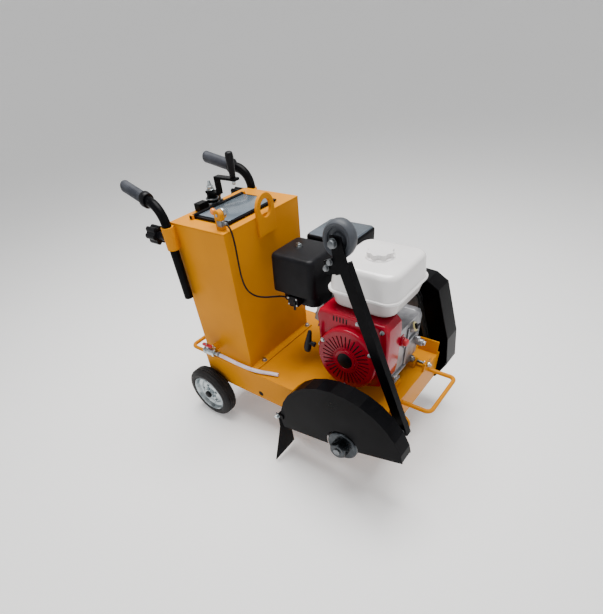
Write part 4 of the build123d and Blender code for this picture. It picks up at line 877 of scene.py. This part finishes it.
def make_throttle_details():
    """Lever with its ball and hub on the post, and the cable's two ends."""
    ball = turned_shape([(0.0, 0.0095), (0.0045, 0.0085), (0.0082, 0.0048), (0.0095, 0.0),
                         (0.0082, -0.0048), (0.0045, -0.0085), (0.0, -0.0095)],
                        at(182.5, 62.5, throttle_z), (1, 0, 0), 32, closed=False)
    place(ball, "throttle_ball", "orange_plastic", "throttle", replaces=["throttle_lever"])
    lever = join([slab(at(189, 60.5, throttle_z - 3), at(throttle_x, 64.0, throttle_z + 3), 0.0012),
                  barrel(at(throttle_x, 58, throttle_z), at(throttle_x, 68, throttle_z), 0.0150, 36, 0.0015),
                  hex_head(at(throttle_x, 68, throttle_z), (0, 1, 0), 0.011, 0.006),
                  barrel(at(throttle_x, 38.5, throttle_z), at(throttle_x, 57, throttle_z), 0.004, 16)])
    place(lever, "throttle_arm", "zinc", "throttle")
    clamp = join([slab(at(216, 37.5, 817), at(236.5, 42, 834), 0.0015),
                  slab(at(233, 42, 818), at(239, 54, 834), 0.0015),
                  barrel(at(236, 48, 826), at(250, 48, 826), 0.0048, 20, 0.001)])
    place(clamp, "cable_anchor", "steel", "chassis")
    ferrule = barrel(at(372, 151, 574), at(385, 151, 574), 0.0048, 20, 0.001)
    place(ferrule, "cable_ferrule", "zinc", "chassis")


def make_valve_details():
    """Hexagons on the valve's three ends, its lever's nut, and the hose clamp."""
    parts = [barrel(at(48, valve_y, valve_z), at(57, valve_y, valve_z), 0.0175, 6, 0.0015),
             barrel(at(96, valve_y, valve_z), at(105, valve_y, valve_z), 0.0175, 6, 0.0015),
             barrel(at(72, -9, valve_z), at(72, -3, valve_z), 0.0165, 6, 0.0015),
             hex_head(at(66, valve_y, 376), (0, 0, 1), 0.009, 0.004)]
    place(join(parts), "valve_fittings", "zinc", "chassis")
    clamp = join([turned_shape([(0.0077, -0.005), (0.0087, -0.005), (0.0087, 0.005), (0.0077, 0.005)],
                               at(128, valve_y, valve_z), (1, 0, 0), 32),
                  slab(at(123, -30, 355), at(133, -24, 362), 0.0008),
                  barrel(at(128, -36, 358), at(128, -18, 358), 0.0022, 12, 0.0004)])
    place(clamp, "hose_clamp", "steel", "chassis")


def make_bolts():
    """The frame's hexagon bolts, and the belt tension screw with its thread and two nuts."""
    parts = []
    for y in (84, 383):
        parts.append(hex_head(at(269, y, 305), (0, 0, 1), 0.015, 0.008, 0.011))
    parts.append(hex_head(at(801, 484.0, 333), (0, 1, 0), 0.017, 0.009, 0.014))
    parts.append(hex_head(at(790, 40, 307), (0, 0, 1), 0.015, 0.008, 0.011))
    place(join(parts), "hexagon_bolts", "zinc", "chassis", replaces=["hex_bolts"])
    threads = [barrel(at(802, tension_y, tension_z), at(860, tension_y, tension_z), 0.0052, 20, 0.001)]
    for step in range(24):
        turn_at = at(805 + step * 2.2, tension_y, tension_z)
        threads.append(turned_shape([(0.005, -0.0011), (0.0062, 0.0), (0.005, 0.0011)], turn_at,
                                    (1, 0, 0), 16))
    for x in (829, 846):
        threads.append(barrel(at(x, tension_y, tension_z), at(x + 7, tension_y, tension_z), 0.0105, 6, 0.001))
    place(join(threads), "tension_screw", "zinc", "chassis")


def make_welds():
    """Painted weld beads under the lifting eye and along the tank's foot."""
    beads = [barrel(at(255.5, 172, 747), at(255.5, 255, 747), 0.0032, 12, 0.0015),
             barrel(at(256, 30, 305.5), at(256, 392, 305.5), 0.0022, 12, 0.001)]
    place(join(beads), "weld_beads", "yellow_paint", "chassis", angle=60)


def make_guard_details():
    """The flap's bolt and the large nut on the arbor's threaded end."""
    place(hex_head(at(466, -88, 232), (0, -1, 0), 0.015, 0.009, 0.010), "flap_bolt", "zinc", "chassis")
    thread = barrel(at(arbor_x, -100, arbor_z), at(arbor_x, -120.5, arbor_z), 0.0124, 32, 0.002)
    place(thread, "arbor_thread", "steel", "blade_spindle")
    nut = hexagon_nut(at(arbor_x, -86.8, arbor_z), (0, -1, 0), 0.057, 0.0290, 0.0128)
    place(nut, "arbor_nut", "dark_steel", "blade_clamp", slot="zinc", replaces=["blade_nut"])


def make_pointer_details():
    """Bolts of the guide wheel, the pointer plate and the arm's pivot."""
    low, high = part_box("pointer_wheel")
    centre = (low + high) / 2
    parts = [hex_head(Vector((centre.x, at(0, arm_bolt_y, 0).y, centre.z)), (0, -1, 0), 0.019, 0.010, 0.013)]
    for x, z in ((618, 770), (630, 788)):
        parts.append(hex_head(at(x, 45, z), (0, -1, 0), 0.013, 0.007, 0.009))
    place(join(parts), "pointer_bolts", "steel", "pointer")
    pivot = hex_head(at(909, arm_bolt_y, 283), (0, -1, 0), 0.022, 0.011, 0.015)
    place(pivot, "pointer_pivot_bolt", "steel", "pointer")


make_camera()
make_studio()
dress_cad_nodes()
make_cords()
for make_wheel in (make_rear_wheel, make_front_wheel):
    make_wheel("right", -1)
    make_wheel("left", 1)
make_guide_wheel()
make_fuel_tank()
make_air_cleaner()
make_muffler()
make_shroud()
make_recoil_details()
make_recoil_grip()
make_carburettor()
make_welds()
make_cylinder_fins()
make_side_cover_details()
make_lid_details()
make_grip("right", -3.0, 1)
make_grip("left", 424.0, -1)
make_crank_details()
make_throttle_details()
make_valve_details()
make_bolts()
make_guard_details()
make_pointer_details()
for node_name, width in (("tank_shell", 0.003), ("tank_top", 0.0012), ("deck_plate", 0.0015),
                         ("deck_skirts", 0.0012), ("lifting_eye", 0.0015), ("handle_sleeves", 0.0012),
                         ("engine_base", 0.0012), ("pointer_arm", 0.0018), ("crank_bearing", 0.0012),
                         ("knob_right", 0.0025), ("knob_left", 0.0025), ("fuel_cap", 0.0025),
                         ("engine_block", 0.003), ("side_cover", 0.003), ("tank_lid", 0.0012),
                         ("valve_body", 0.0012), ("valve_lever", 0.0015), ("guard_flap", 0.001),
                         ("crank_grip", 0.0015), ("air_cleaner_base", 0.004)):
    soften(node_name, width)
soften("blade_guard", 0.0009, 1, angle=8.0)
soften("outer_flange", 0.0015, material="dark_steel")
soften("belt_guard", 0.0012, 1, angle=8.0)
